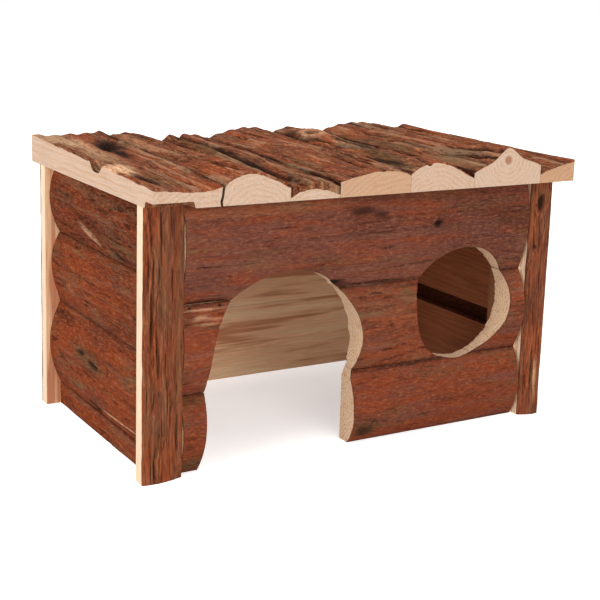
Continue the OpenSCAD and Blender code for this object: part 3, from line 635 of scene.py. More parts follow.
def bark(along, across, style, seed):
    """Height of the bark over its slab in mm, and its looks.

    Broad ridges, fine fibres, raised flakes and cracks are noises stretched along the grain, on
    coordinates that wander across it. Cracks are the lowest places of a noise of short strands, splits
    those of a noise of long ones, and tan streaks the highest places of another.
    """
    v = across
    for k, (reach, length, width) in enumerate(GRAIN_DRIFTS):
        v = v + reach * (noise(along / length, across / width, seed + k) - 0.5)

    def grain(length, width, step, octaves=1):
        return layered(along / length, v / width, seed + step, octaves)

    swell = grain(style.length, style.width, 10, 2)
    fibre = grain(style.strand, 1.7, 20, 3)
    tear = 0.75 * grain(style.strand, style.pitch, 30) + 0.25 * grain(40, 9, 31)
    crack = smooth(tear, style.tears, style.tears - 0.14)
    plates = grain(24, 6, 40) + 0.7 * (fibre - 0.5)
    flake = smooth(plates, 0.96 - style.flake, 1.06 - style.flake)
    tone = grain(34, 7, 50, 3)
    split = style.split * smooth(grain(60, 2.8, 32), 0.27, 0.14)
    streak = style.split * smooth(grain(40, 2.6, 33), 0.7, 0.86)
    height = (style.ridge * (swell - 0.5) + style.fibre * 2 * (fibre - 0.5)
              + style.plate * (flake - 0.5) - style.crack * crack - 1.5 * split + 0.4 * streak)
    # Low places of the broad relief take the furrow colour: painted shade in the bark's hollows
    hollow = smooth(swell + 0.35 * fibre, 0.56, 0.36)
    looks = {
        "furrow_and_shade": np.clip(0.9 * crack + 0.4 * hollow + split, 0, 1),
        "flake": flake,
        "warm": np.clip(style.warm + 1.3 * (tone - 0.5), 0, 1),
        "knot": 0.6 * split,
        "lichen": smooth(grain(30, 3.2, 60, 3), 0.66, 0.8) * flake,
        "bare": 0.22 * streak,
    }
    return height, looks


def shade_lip(looks, distance, lip):
    """Paints shade on the bark next to an edge where two slabs meet, by exp(-x^2) of the distance in
    reaches.
    """
    for key, (reach, strength) in lip.items():
        looks[key] = np.maximum(looks[key], strength * np.exp(-(distance / reach) ** 2))


def add_mark(height, looks, along, across, mark, axes, seed):
    """Lays a mark on the bark: weight exp(-d^4) of the leaning, ragged ellipse distance d.

    Its border around d = 1 takes its rim and collar, and calm flattens the bark under it.
    """
    centre = axes @ np.array(mark.place, float)
    off = along - centre[0]
    ragged = 1 + FRAY * (layered(along / FRAY_PITCHES[0], across / FRAY_PITCHES[1], seed) - 0.5)
    d = np.hypot(off / mark.along, (across - centre[1] - mark.lean * off) / mark.across) * ragged
    weight = np.exp(-d ** 4)
    border = np.exp(-((d - 1) / MARK_BORDER) ** 2)
    height = height * (1 - mark.calm * weight) + mark.rise * weight + mark.rim * border
    for key in MARK_LOOKS:
        looks[key] = between(looks[key], 1, getattr(mark, key) * weight)
    looks["bare"] = between(looks["bare"] * (1 - mark.knot * weight), 1, mark.collar * border)
    for key in ("furrow_and_shade", "knot"):
        looks[key] = looks[key] * (1 - 0.8 * border * min(1, 2 * mark.collar))
    looks["furrow_and_shade"] = looks["furrow_and_shade"] * (1 - weight * max(mark.calm, mark.bare))
    return height


# Meshes


def node_box(node, facing_name):
    """Lowest and highest corner of a node in millimetres, in the directions of a facing."""
    axes = FACINGS[facing_name].axes
    corners = np.array([axes @ np.array(corner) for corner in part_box(node)]) / MM
    return corners.min(0), corners.max(0)


def ring_of(rows, columns):
    """Indices of a grid's border, once round, counter-clockwise as seen from outside."""
    index = np.arange(rows * columns).reshape(rows, columns)
    return np.concatenate([index[:, 0], index[-1, 1:], index[-2::-1, -1], index[0, -2:0:-1]])


def splinters(along, across, amount, seed):
    """Shift of a border's points along its normal: a fine noise that fades out near the border's own box.

    So only the cuts inside the box, those of the doorway and the window, are splintered.
    """
    ends = np.minimum(along - along.min(), along.max() - along)
    sides = np.minimum(across - across.min(), across.max() - across)
    run = np.column_stack([np.roll(grid, -1) - np.roll(grid, 1) for grid in (along, across)])
    run = run / np.maximum(np.hypot(run[:, 0], run[:, 1]), 1e-6)[:, None]
    jag = 2 * amount * (layered(along / SPLINTER_PITCH, across / SPLINTER_PITCH, seed, 2) - 0.5)
    jag = jag * smooth(np.minimum(ends, sides), 0.2, 2)
    return np.column_stack([run[:, 1], -run[:, 0]]) * jag[:, None]


def new_mesh(name, points, corners, starts, finish):
    """Mesh from its points, the corners of its faces, the start of each face in them, and its material."""
    mesh = bpy.data.meshes.new(name)
    mesh.vertices.add(len(points))
    mesh.vertices.foreach_set("co", points.ravel())
    mesh.loops.add(len(corners))
    mesh.loops.foreach_set("vertex_index", corners.astype(np.int32))
    mesh.polygons.add(len(starts))
    mesh.polygons.foreach_set("loop_start", starts.astype(np.int32))
    mesh.polygons.foreach_set("material_index", finish.astype(np.int32))
    mesh.update(calc_edges=True)
    mesh.shade_smooth()
    mesh.set_sharp_from_angle(angle=SHARP_ANGLE)
    return mesh


def wall_rows(ring, along, across, height, core, seed, wane, floor, split, ragged):
    """Rows of points round a slab's border, at even shares of the way from its inside to its core."""
    ring_a, ring_b, ring_h, wood_h = (grid.ravel()[ring] for grid in (along, across, height, core))
    wood_h = np.clip(wood_h, ring_h * LEAST_WOOD, ring_h - LEAST_BARK)
    foot = np.zeros_like(ring_h) if floor is None else floor.ravel()[ring]
    wall = []
    for k, share in enumerate(np.linspace(0, 1, WALL_ROWS)):
        shift = 0 if split is None else split[k].ravel()[ring]
        wall.append(np.column_stack([ring_a, ring_b + shift, between(foot, wood_h, share)]))
    if ragged:
        wall[0][:, :2] += splinters(ring_a, ring_b, ragged, seed)
    if wane[1]:
        up = ring_b - across.min()
        width = across.max() - across.min()
        wall[0][:, 1] = across.min() + wane[0] + up * (1 - wane[0] / width)
        slope = wane[1] * (1 - up / width) + WANE_GAP
        for k in range(1, WALL_ROWS):
            wall[k][:, 2] = between(slope, wood_h, (k - 1) / (WALL_ROWS - 1))
    return wall


def slab_faces(rows, columns, ring, floor, barked, waney):
    """Corners of a slab's faces, the start of each face in them, and its material."""
    count = len(ring)
    grid = np.arange(rows * columns).reshape(rows, columns)
    bark_quads = np.stack([grid[:-1, :-1], grid[1:, :-1], grid[1:, 1:], grid[:-1, 1:]], -1).reshape(-1, 4)
    loops = [grid.size + k * count + np.arange(count) for k in range(WALL_ROWS)] + [ring]
    quads = [bark_quads]
    for a, b in zip(loops[:-1], loops[1:]):
        quads.append(np.stack([a, np.roll(a, -1), np.roll(b, -1), b], -1))
    if floor is None:
        corners = np.concatenate([np.vstack(quads).ravel(), loops[0][::-1]])
        starts = np.arange(0, len(corners) - count + 1, 4)
        inside = [PLANED]
    else:
        under = grid.size + count * WALL_ROWS + np.arange(grid.size)
        under[ring] = loops[0]
        corners = np.vstack(quads + [under[bark_quads][:, ::-1]]).ravel()
        starts = np.arange(0, len(corners), 4)
        inside = np.where(floor.ravel()[bark_quads].max(1) > NOTCH_STEP, BARK, PLANED)
    bands = np.full((WALL_ROWS, count), SAWN)
    bands[-1] = BARK
    if waney:
        bands[0, :rows - 1] = BARK
    if "low" in barked:
        bands[:, :rows - 1] = BARK
    if "high" in barked:
        bands[:, rows + columns - 2:2 * rows + columns - 3] = BARK
    return corners, starts, np.concatenate([np.full(len(bark_quads), BARK), bands.ravel(), inside])


def slab_mesh(name, axes, along, across, base, height, core, looks, pith, number, wane=(0, 0),
              barked=(), floor=None, split=None, ragged=0.0, tint=0.0):
    """Closed slab from a grid: bark outside, sawn walls round its border, a flat face inside.

    The walls have rows at even shares up to the core, which is the top of the wood, and one more row up
    through the bark. barked names the long sides, "low" or "high" across, that have bark instead of a
    sawn face. A wane (height, depth) slopes the foot of the flat face back. floor is a grid of heights of
    the inside where it isn't flat, and split a jagged shift of the walls across, one for each row.
    ragged is how far the inner edges of its cuts are splintered, and tint the warmth of its sawn wood.
    """
    ring = ring_of(*along.shape)
    grids = [height] if floor is None else [height, floor]
    layers = [np.column_stack([along.ravel(), across.ravel(), grid.ravel()]) for grid in grids]
    seed = SEED_STEP * number + SPLINTER_SEED
    layers[1:1] = wall_rows(ring, along, across, height, core, seed, wane, floor, split, ragged)
    local = np.vstack(layers)
    points = (local + np.array([0, 0, base])) @ axes * MM
    mesh = new_mesh(name, points, *slab_faces(*along.shape, ring, floor, barked, waney=wane[1] > 0))

    wood = local - np.array([0, *pith]) + np.array([LOG_SPACING * number, 0, 0])
    mesh.attributes.new("wood", "FLOAT_VECTOR", "POINT").data.foreach_set("vector", wood.ravel())
    values = {"tint": np.full(len(local), tint)}
    for key in LOOKS:
        look = looks[key].ravel()
        values[key] = np.concatenate([look] + [look[ring]] * WALL_ROWS + [look] * (len(grids) - 1))
    for key, value in values.items():
        mesh.attributes.new(key, "FLOAT", "POINT").data.foreach_set("value", value)
    return mesh


def place_slab(node, mesh, materials):
    """Puts a slab into the scene in place of its node."""
    piece = bpy.data.objects.new(node + "_bark", mesh)
    bpy.context.scene.collection.objects.link(piece)
    for material in materials:
        mesh.materials.append(material)
    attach(piece, BODY)
    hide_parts(node)


def build_slab(node, facing_name, style, number, along, across, form, pith=None, skin_share=1.0,
               relief_form=0, **extra):
    """Bark relief and marks on a slab's smooth form, then its mesh and its place in the scene.

    relief_form is the part of the form that only the bark has, not the wood under it.
    """
    facing = FACINGS[facing_name]
    slot, seed = facing.slot, SEED_STEP * number
    low, high = node_box(node, facing_name)
    if pith is None:
        pith = ((low[1] + high[1]) / 2 + facing.pith[0], facing.pith[1])
    relief, looks = bark(along, across, STYLES[style], seed)
    end = np.minimum(along - along.min(), along.max() - along)
    side = np.minimum(across - across.min(1, keepdims=True), across.max(1, keepdims=True) - across)
    relief = relief * eased(end, *END_FADE) * eased(side, *SIDE_FADE)
    if slot == "roof_bark":
        relief = relief * eased(along.max() - along, *REAR_FADE)
        # Painted shade along the bark edges where two roof slabs meet
        for name in extra["barked"]:
            edge = (across.min(1) if name == "low" else across.max(1))[:, None]
            shade_lip(looks, abs(across - edge), ROOF_JOINT_SHADE)
    elif slot != "post_bark":
        # Painted shade along the joints between the wall slabs
        shade_lip(looks, np.minimum(across - across.min(), across.max() - across), WALL_JOINT_SHADE)
    for k, mark in enumerate(MARKS.get(node, [])):
        relief = add_mark(relief, looks, along, across, mark, facing.axes, seed + MARK_SEED + k)
    height = np.maximum(form + relief_form + relief, LEAST_SLAB)
    border = layered(along / BORDER_PITCHES[0], across / BORDER_PITCHES[1], seed + BORDER_SEED) - 0.5
    core = form - settings().skin * (skin_share + min(skin_share, 1) * border)
    mesh = slab_mesh(node, facing.axes, along, across, low[2], height, core, looks, pith, number, **extra)
    # The right wall's planed inside takes the darker copy of the planed wood: painted shade
    place_slab(node, mesh, slab_materials(slot, facing_name == "right"))


def half_chord(radius, offset):
    """Half the chord of a circle at an offset from its centre."""
    return np.sqrt(np.maximum(radius ** 2 - offset ** 2, 0))


def grid_shares(length, width):
    """Even shares from 0 to 1 along and across a slab, as two grids at the mesh's steps."""
    size = settings()
    steps = math.ceil(length / size.grain_step), math.ceil(width / size.cross_step)
    return np.meshgrid(*(np.linspace(0, 1, max(LEAST_STEPS, n) + 1) for n in steps), indexing="ij")


def box_grid(node, facing_name, below=0, above=0):
    """Grids of the shares and the places along and across a node's box.

    below and above are how far the places reach past the box across.
    """
    low, high = node_box(node, facing_name)
    t, u = grid_shares(high[0] - low[0], high[1] - low[1])
    along = between(low[0], high[0], t)
    across = between(low[1] - below, high[1] + above, u)
    return t, u, along, across


# Materials


class Graph:
    """Short calls for nodes of one tree: inputs are sockets, numbers or colours."""

    def __init__(self, tree):
        self.tree = tree
        tree.nodes.clear()

    def add(self, kind, inputs=(), **settings_of_node):
        """New node with its inputs and settings."""
        node = self.tree.nodes.new(kind)
        for key, value in settings_of_node.items():
            setattr(node, key, value)
        for key, value in dict(inputs).items():
            if isinstance(value, bpy.types.NodeSocket):
                self.tree.links.new(value, node.inputs[key])
            else:
                node.inputs[key].default_value = value
        return node

    def math(self, operation, a, b=0.0, clamp=False):
        return self.add("ShaderNodeMath", {0: a, 1: b}, operation=operation, use_clamp=clamp).outputs[0]

    def times(self, a, b):
        return self.math("MULTIPLY", a, b)

    def ramp(self, value, low, high, to_low=0.0, to_high=1.0):
        """Smooth step of a value between two limits."""
        inputs = {"Value": value, "From Min": low, "From Max": high, "To Min": to_low, "To Max": to_high}
        return self.add("ShaderNodeMapRange", inputs, interpolation_type="SMOOTHSTEP").outputs[0]

    def blend(self, share, a, b, mode="MIX"):
        """Mix of two colours."""
        node = self.add("ShaderNodeMix", {0: share}, data_type="RGBA", blend_type=mode)
        for key, value in ((6, a), (7, b)):
            if isinstance(value, bpy.types.NodeSocket):
                self.tree.links.new(value, node.inputs[key])
            else:
                node.inputs[key].default_value = (*value, 1.0)
        return node.outputs[2]

    def scaled(self, vector, x, y, z):
        """A vector with each part times a number."""
        return self.add("ShaderNodeVectorMath", {0: vector, 1: (x, y, z)}, operation="MULTIPLY").outputs[0]

    def noise(self, vector, detail=3.0, rough=0.6):
        inputs = {"Vector": vector, "Scale": 1.0, "Detail": detail, "Roughness": rough}
        return self.add("ShaderNodeTexNoise", inputs).outputs["Fac"]

    def grain(self, place, along, across, detail=3.0, rough=0.6):
        """Noise with so many waves per unit along the grain and across it."""
        return self.noise(self.scaled(place, along, across, across), detail, rough)

    def attribute(self, name, output="Fac"):
        return self.add("ShaderNodeAttribute", attribute_name=name).outputs[output]


def new_group(name, colours, numbers, vectors=()):
    """Shader node group that gives a colour and a height: its tree, its graph and its named inputs."""
    tree = bpy.data.node_groups.new(name, "ShaderNodeTree")
    for kind, titles in (("Color", colours), ("Float", numbers), ("Vector", vectors)):
        for title in titles:
            tree.interface.new_socket(title, in_out="INPUT", socket_type="NodeSocket" + kind)
    for title, kind in (("Color", "Color"), ("Height", "Float")):
        tree.interface.new_socket(title, in_out="OUTPUT", socket_type="NodeSocket" + kind)
    graph = Graph(tree)
    return tree, graph, graph.add("NodeGroupInput").outputs


def wood_group():
    """Sawn wood cut from one log: rings round the pith, fine streaks along the grain, faint blotches.

    Streaks is the strength of broad warm and cream bands, Saw that of dark pits.
    """
    tree, g, given = new_group("sawn wood", ("Wood", "Ring"), ("Spacing", "Lines", "Saw", "Streaks"),
                               ("Coordinates",))
    place = given["Coordinates"]
    sway = g.grain(place, 1 / 55, 1 / 9, detail=2.0)
    streak = g.grain(place, 1 / 16, 1.6, detail=4.0)
    blotch = g.grain(place, 1 / 40, 1 / 7)
    band = g.grain(place, 1 / 150, 1 / 9)
    bits = g.grain(place, 0.5, 1.0, rough=0.8)
    flat = g.add("ShaderNodeVectorMath", {0: g.scaled(place, 0, 1, 1)}, operation="LENGTH")
    from_pith = flat.outputs["Value"]
    radius = g.math("ADD", from_pith, g.times(sway, 5.0))
    ring = g.math("FRACT", g.math("DIVIDE", radius, given["Spacing"]))
    late = g.times(g.ramp(ring, 0.35, 0.9), g.ramp(ring, 1.0, 0.92))
    line = g.times(g.times(late, given["Lines"]), g.ramp(blotch, 0.25, 0.7, 0.15, 0.75))
    colour = g.blend(line, given["Wood"], given["Ring"])
    colour = g.blend(g.ramp(blotch, 0.55, 0.8, 0.0, 0.4), colour, given["Ring"])
    colour = g.blend(g.times(g.ramp(band, 0.5, 0.6), given["Streaks"]), colour, given["Ring"])
    colour = g.blend(g.times(g.ramp(band, 0.46, 0.38, 0.0, 0.7), given["Streaks"]), colour, CREAM)
    shade = g.ramp(streak, 0.3, 0.72, 0.84, 1.05)
    grey = g.add("ShaderNodeCombineColor", {0: shade, 1: shade, 2: shade}).outputs[0]
    colour = g.blend(1.0, colour, grey, "MULTIPLY")
    colour = g.blend(g.times(g.ramp(bits, 0.46, 0.34), given["Saw"]), colour, given["Ring"], "MULTIPLY")
    colour = g.blend(g.ramp(from_pith, 3.4, 1.6, 0.0, 0.85), colour, given["Ring"], "MULTIPLY")
    relief = g.math("ADD", g.times(streak, 0.7), g.times(late, 0.3))
    g.add("NodeGroupOutput", {"Color": colour, "Height": relief})
    return tree


def bark_group():
    """Bark: warm and cool inner bark under grey-brown flakes, tan fibres, dark furrows that also carry
    painted shade, lichen and knots.

    The fibres are two noises stretched along the grain, on coordinates that a broader noise bends.
    """
    tree, g, given = new_group("bark", ("Warm", "Cool", *BARK_COLOURS), ("Strand", "Stretch", "Tan"))
    place = g.attribute("wood", "Vector")
    bend_inputs = {"Vector": g.scaled(place, 1 / 26, 1 / 11, 1 / 11), "Scale": 1.0, "Detail": 2.0}
    bend = g.add("ShaderNodeTexNoise", bend_inputs).outputs["Color"]
    place = g.add("ShaderNodeVectorMath", {0: g.scaled(bend, 0, 5, 5), 1: place}).outputs[0]
    share = g.math("DIVIDE", 1.0, given["Stretch"])
    shorter = g.add("ShaderNodeCombineXYZ", {0: share, 1: 1.0, 2: 1.0}).outputs[0]
    fibres = g.add("ShaderNodeVectorMath", {0: place, 1: shorter}, operation="MULTIPLY").outputs[0]
    strand = g.noise(fibres, detail=5.0, rough=0.7)
    hair = g.grain(fibres, 2.8, 2.6, rough=0.7)
    tear = g.grain(place, 1 / 18, 0.8)
    broad = g.grain(place, 1 / 30, 1 / 4, detail=4.0)
    speck = g.grain(place, 1 / 3, 1 / 1.1, rough=0.7)
    fine = g.math("ADD", g.times(strand, 0.68), g.times(hair, 0.32))
    warm = g.math("ADD", g.attribute("warm"), g.ramp(broad, 0.35, 0.65, -0.35, 0.35), clamp=True)
    colour = g.blend(warm, given["Cool"], given["Warm"])
    # Layers: colour, share, the noise that breaks the layer up, and its ramp
    layers = (
        ("Outer", g.times(g.attribute("flake"), 0.7), speck, (0.35, 0.6, 0.25, 1.0)),
        ("Fibre", g.times(given["Strand"], given["Tan"]), fine, (0.5, 0.64, 0.0, 0.8)),
        ("Lichen", g.times(g.attribute("lichen"), 0.8), speck, (0.3, 0.55, 0.35, 1.0)),
        ("Furrow_and_shade", given["Strand"], fine, (0.49, 0.36, 0.0, 0.8)),
        ("Furrow_and_shade", given["Strand"], tear, (0.4, 0.34, 0.0, 0.85)),
        # Furrow look of the mesh: dark cracks, and painted shade in hollows, grooves and joints
        ("Furrow_and_shade", g.times(g.attribute("furrow_and_shade"), 0.9), fine, (0.62, 0.42, 0.35, 1.0)),
        ("Knot_and_shade", g.attribute("knot"), speck, (0.2, 0.5, 0.75, 1.0)),
    )
    for key, share, pattern, limits in layers:
        colour = g.blend(g.times(share, g.ramp(pattern, *limits)), colour, given[key])
    relief = g.math("ADD", g.times(fine, 0.8), g.times(speck, 0.2))
    g.add("NodeGroupOutput", {"Color": colour, "Height": relief})
    return tree


def group_of(name, make):
    """A node group by name, made at its first use."""
    return bpy.data.node_groups.get(name) or make()


def surface(name):
    """New material and its empty graph."""
    material = bpy.data.materials.new(name)
    material.use_nodes = True
    return material, Graph(material.node_tree)


def close_surface(graph, inputs):
    """Ends a material with a Principled shader."""
    shader = graph.add("ShaderNodeBsdfPrincipled", inputs)
    graph.add("ShaderNodeOutputMaterial", {"Surface": shader.outputs[0]})


def bump(graph, height, depth, strength):
    """Normals of a fine relief that the mesh is too coarse for."""
    inputs = {"Height": height, "Strength": strength, "Distance": depth * MM}
    return graph.add("ShaderNodeBump", inputs).outputs[0]


def wood_nodes(graph, wood, ring, spacing, lines, saw, streaks, place):
    """The sawn wood group in a material: strengths of its rings, its saw marks and its broad streaks."""
    inputs = {"Wood": (*wood, 1), "Ring": (*ring, 1), "Spacing": spacing, "Lines": lines, "Saw": saw,
              "Streaks": streaks, "Coordinates": place}
    return graph.add("ShaderNodeGroup", inputs, node_tree=group_of("sawn wood", wood_group)).outputs


def bark_material(slot):
    """Bark of one kind of piece, with bare wood where the bark has come away."""
    colours = bpy.context.scene.bark_house_colours
    finish = FINISHES[slot]
    material, g = surface(slot + "_relief")
    names = {"Warm": finish.warm, "Cool": finish.cool, **BARK_COLOURS}
    inputs = {key: (*getattr(colours, name), 1) for key, name in names.items()}
    inputs.update(Strand=finish.strand, Stretch=finish.stretch, Tan=finish.tan)
    skin = g.add("ShaderNodeGroup", inputs, node_tree=group_of("bark", bark_group)).outputs
    place = g.attribute("wood", "Vector")
    wood = wood_nodes(g, colours.planed, colours.planed_ring, 2.6, 0.5, 0.6, 0.0, place)
    bits = g.grain(place, 1 / 6, 1 / 1.5, detail=4.0, rough=0.7)
    bare = g.times(g.attribute("bare"), g.ramp(bits, 0.38, 0.5, 0.3, 1.0))
    colour = g.blend(bare, skin["Color"], wood["Color"])
    close_surface(g, {"Base Color": colour, "Roughness": 0.9, "Specular IOR Level": 0.06,
                      "Normal": bump(g, skin["Height"], 1.2, 0.7)})
    return material


def wood_material(name, wood, ring, spacing, lines, saw=0.0, streaks=0.0, on_slab=True):
    """Sawn or planed wood, on a slab's own log coordinates or on the frame's."""
    material, g = surface(name)
    if on_slab:
        place = g.attribute("wood", "Vector")
    else:
        place = g.add("ShaderNodeTexCoord").outputs["Object"]
        place = g.scaled(place, BATTEN_STRETCH / MM, 1 / MM, 1 / MM)
    grown = wood_nodes(g, wood, ring, spacing, lines, saw, streaks, place)
    sap = bpy.context.scene.bark_house_colours.sap
    colour = g.blend(g.attribute("tint"), grown["Color"], sap, "MULTIPLY")
    close_surface(g, {"Base Color": colour, "Roughness": 0.7, "Specular IOR Level": 0.3,
                      "Normal": bump(g, grown["Height"], 0.35, 0.5)})
    return material


def slab_materials(slot, shaded_planed=False):
    """Bark, sawn wood and planed inside of a slab, in this order and made at their first use. For the
    right wall the planed inside is a darker copy, which paints the shade inside the house.
    """
    colours = bpy.context.scene.bark_house_colours
    finish = FINISHES[slot]
    sawn, inside = slot + "_sawn", "shaded_planed_face" if shaded_planed else "planed_face"
    woods = {
        sawn: {"wood": getattr(colours, finish.sawn), "ring": colours.ring, "spacing": finish.spacing,
               "lines": 0.9, "saw": finish.saw},
        # Darker copy of the planed wood for the right wall's inside: painted shade
        "shaded_planed_face": {"wood": colours.shaded_planed, "ring": colours.shaded_and_batten_grain, "spacing": 1.9, "lines": 0.7},
        "planed_face": {"wood": colours.planed, "ring": colours.planed_ring, "spacing": 5.0,
                        "lines": 0.2, "streaks": 0.9},
    }
    made = bpy.data.materials
    bark_skin = made.get(slot + "_relief") or bark_material(slot)
    return bark_skin, *(made.get(name) or wood_material(name, **woods[name]) for name in (sawn, inside))


# Operators


class BARKHOUSE_OT_posts(bpy.types.Operator):
    """Corner posts: upright slabs with furrowed bark and pale sawn edges"""

    bl_idname = "barkhouse.posts"
    bl_label = "Posts"

    def execute(self, context):
        size = settings()
        posts = ("front_left_post", "front_right_post", "rear_left_post", "rear_right_post")
        for number, node in enumerate(posts, FIRST_SLABS["posts"]):
            facing_name = node.split("_")[0] + " post"
            _, u, along, across = box_grid(node, facing_name)
            edges, peak = (size.post_inner_edge, size.post_outer_edge), 0.55
            if node in ("front_right_post", "rear_left_post"):
                edges, peak = edges[::-1], 0.45
            form = section(u, edges[0], size.post_crest, edges[1], peak)
            build_slab(node, facing_name, "furrowed", number, along, across, form)
        return {"FINISHED"}


class BARKHOUSE_OT_front_wall(bpy.types.Operator):
    """Front wall: three courses, cut through by the arched doorway and the round window"""

    bl_idname = "barkhouse.front_wall"
    bl_label = "Front wall"

    def execute(self, context):
        size = settings()
        stub = node_box("front_bottom_left_slab", "front")[1]
        window_side = node_box("front_middle_right_slab", "front")[0]
        start, end = (corner[0] for corner in node_box("front_top_slab", "front"))

        def borders(z, door_x=0.0, window_x=0.0):
            """Ends of the wall and sides of its cuts at a height."""
            arch = half_chord(size.door_radius, z - size.door_height)
            splay = (size.door_foot_left - size.door_radius) * (1 - z / size.door_height)
            left_jamb = np.maximum(size.door_radius + splay, arch)
            right_jamb = np.maximum(size.door_foot_right, arch)
            window = half_chord(size.window_radius, z - size.window_height)
            return {
                "wall start": start + 0 * z,
                "door left": door_x - np.where(z < size.door_height, left_jamb, arch),
                "door right": door_x + np.where(z < size.door_height, right_jamb, arch),
                "window left": window_x - window,
                "window right": window_x + window,
                "wall end": end + 0 * z,
            }

        # The stub's top corner and the lower corner of the piece right of the window place the cuts
        door_x = stub[0] - borders(stub[1])["door left"]
        window_x = window_side[0] - borders(window_side[1])["window right"]
        pieces = (
            ("front_bottom_left_slab", "fresh", 0.46, "wall start", "door left"),
            ("front_bottom_right_slab", "fresh", 0.46, "door right", "wall end"),
            ("front_middle_left_slab", "scaly", 0.52, "wall start", "door left"),
            ("front_middle_centre_slab", "scaly", 0.52, "door right", "window left"),
            ("front_middle_right_slab", "scaly", 0.52, "window right", "wall end"),
            ("front_top_slab", "smooth", 0.55, "wall start", "wall end"),
        )
        for number, (node, style, peak, left, right) in enumerate(pieces, FIRST_SLABS["front"]):
            low, high = node_box(node, "front")
            t, u = grid_shares(high[0] - low[0], high[1] - low[1])
            x = between(low[0], high[0], t)
            arch = half_chord(size.door_radius, x - door_x)
            window = half_chord(size.window_radius, x - window_x)
            bottom, top, top_edge = low[1] + 0 * x, high[1] + 0 * x, size.front_edge
            if node == "front_top_slab":
                cuts = np.maximum(size.door_height + arch, size.window_height + window)
                bottom, top_edge = np.maximum(bottom, cuts), size.front_top_edge
            if node == "front_bottom_right_slab":
                sill = np.minimum(top, size.window_height - window)
                top = np.where(abs(x - window_x) < size.window_radius, sill, top)
            z = between(bottom, top, u)
            sides = borders(z, door_x, window_x)
            x = between(sides[left], sides[right], t)
            course = ("bottom", "middle", "top").index(node.split("_")[1])
            up, run = (z - low[1]) / (high[1] - low[1]), (x - start) / (end - start)
            form = wandering(up, run, size.front_edge, size.front_crest, top_edge, peak, 1 + course)
            build_slab(node, "front", style, number, x, z, form, ragged=size.ragged)
        return {"FINISHED"}


class BARKHOUSE_OT_side_walls(bpy.types.Operator):
    """Left and right walls: slabs from post to post, with the bark outside"""

    bl_idname = "barkhouse.side_walls"
    bl_label = "Side walls"

    def execute(self, context):
        size = settings()
        # Place of the crest, and step of the waves along the slab
        slabs = {
            "left_bottom_slab": (0.50, 5), "left_lower_slab": (0.47, 6), "left_upper_slab": (0.54, 7),
            "left_top_slab": (0.52, 8), "right_bottom_slab": (0.48, 10), "right_middle_slab": (0.53, 11),
            "right_top_slab": (0.50, 12),
        }
        for number, (node, (peak, step)) in enumerate(slabs.items(), FIRST_SLABS["sides"]):
            facing_name = node.split("_")[0]
            t, u, along, across = box_grid(node, facing_name)
            top_edge = size.side_top_edge if "top" in node else size.side_edge
            crest = size.strip_crest if node == "left_bottom_slab" else size.side_crest
            form = wandering(u, t, size.side_edge, crest, top_edge, peak, step)
            wane = (size.wane_height, size.wane_depth) if node == "right_middle_slab" else (0, 0)
            barked = ("high",) if node == "right_bottom_slab" else ()
            style = "ragged" if node == "left_top_slab" else "peeled"
            build_slab(node, facing_name, style, number, along, across, form, wane=wane, barked=barked)
        return {"FINISHED"}


class BARKHOUSE_OT_rear_wall(bpy.types.Operator):
    """Rear wall: three courses, planed inside and barked outside"""

    bl_idname = "barkhouse.rear_wall"
    bl_label = "Rear wall"

    def execute(self, context):
        size = settings()
        # Place of the crest, and step of the waves along the slab
        slabs = {
            "rear_bottom_slab": (0.52, 14), "rear_middle_slab": (0.47, 15), "rear_top_slab": (0.51, 16),
        }
        for number, (node, (peak, step)) in enumerate(slabs.items(), FIRST_SLABS["rear"]):
            # Inner joints close a little, the foot stays on the floor and the top under the roof
            below = 0 if node == "rear_bottom_slab" else size.joint
            above = 0 if node == "rear_top_slab" else size.joint
            t, u, along, across = box_grid(node, "rear", below, above)
            form = wandering(u, t, size.rear_edge, size.rear_crest, size.rear_edge, peak, step)
            build_slab(node, "rear", "peeled", number, along, across, form)
        return {"FINISHED"}


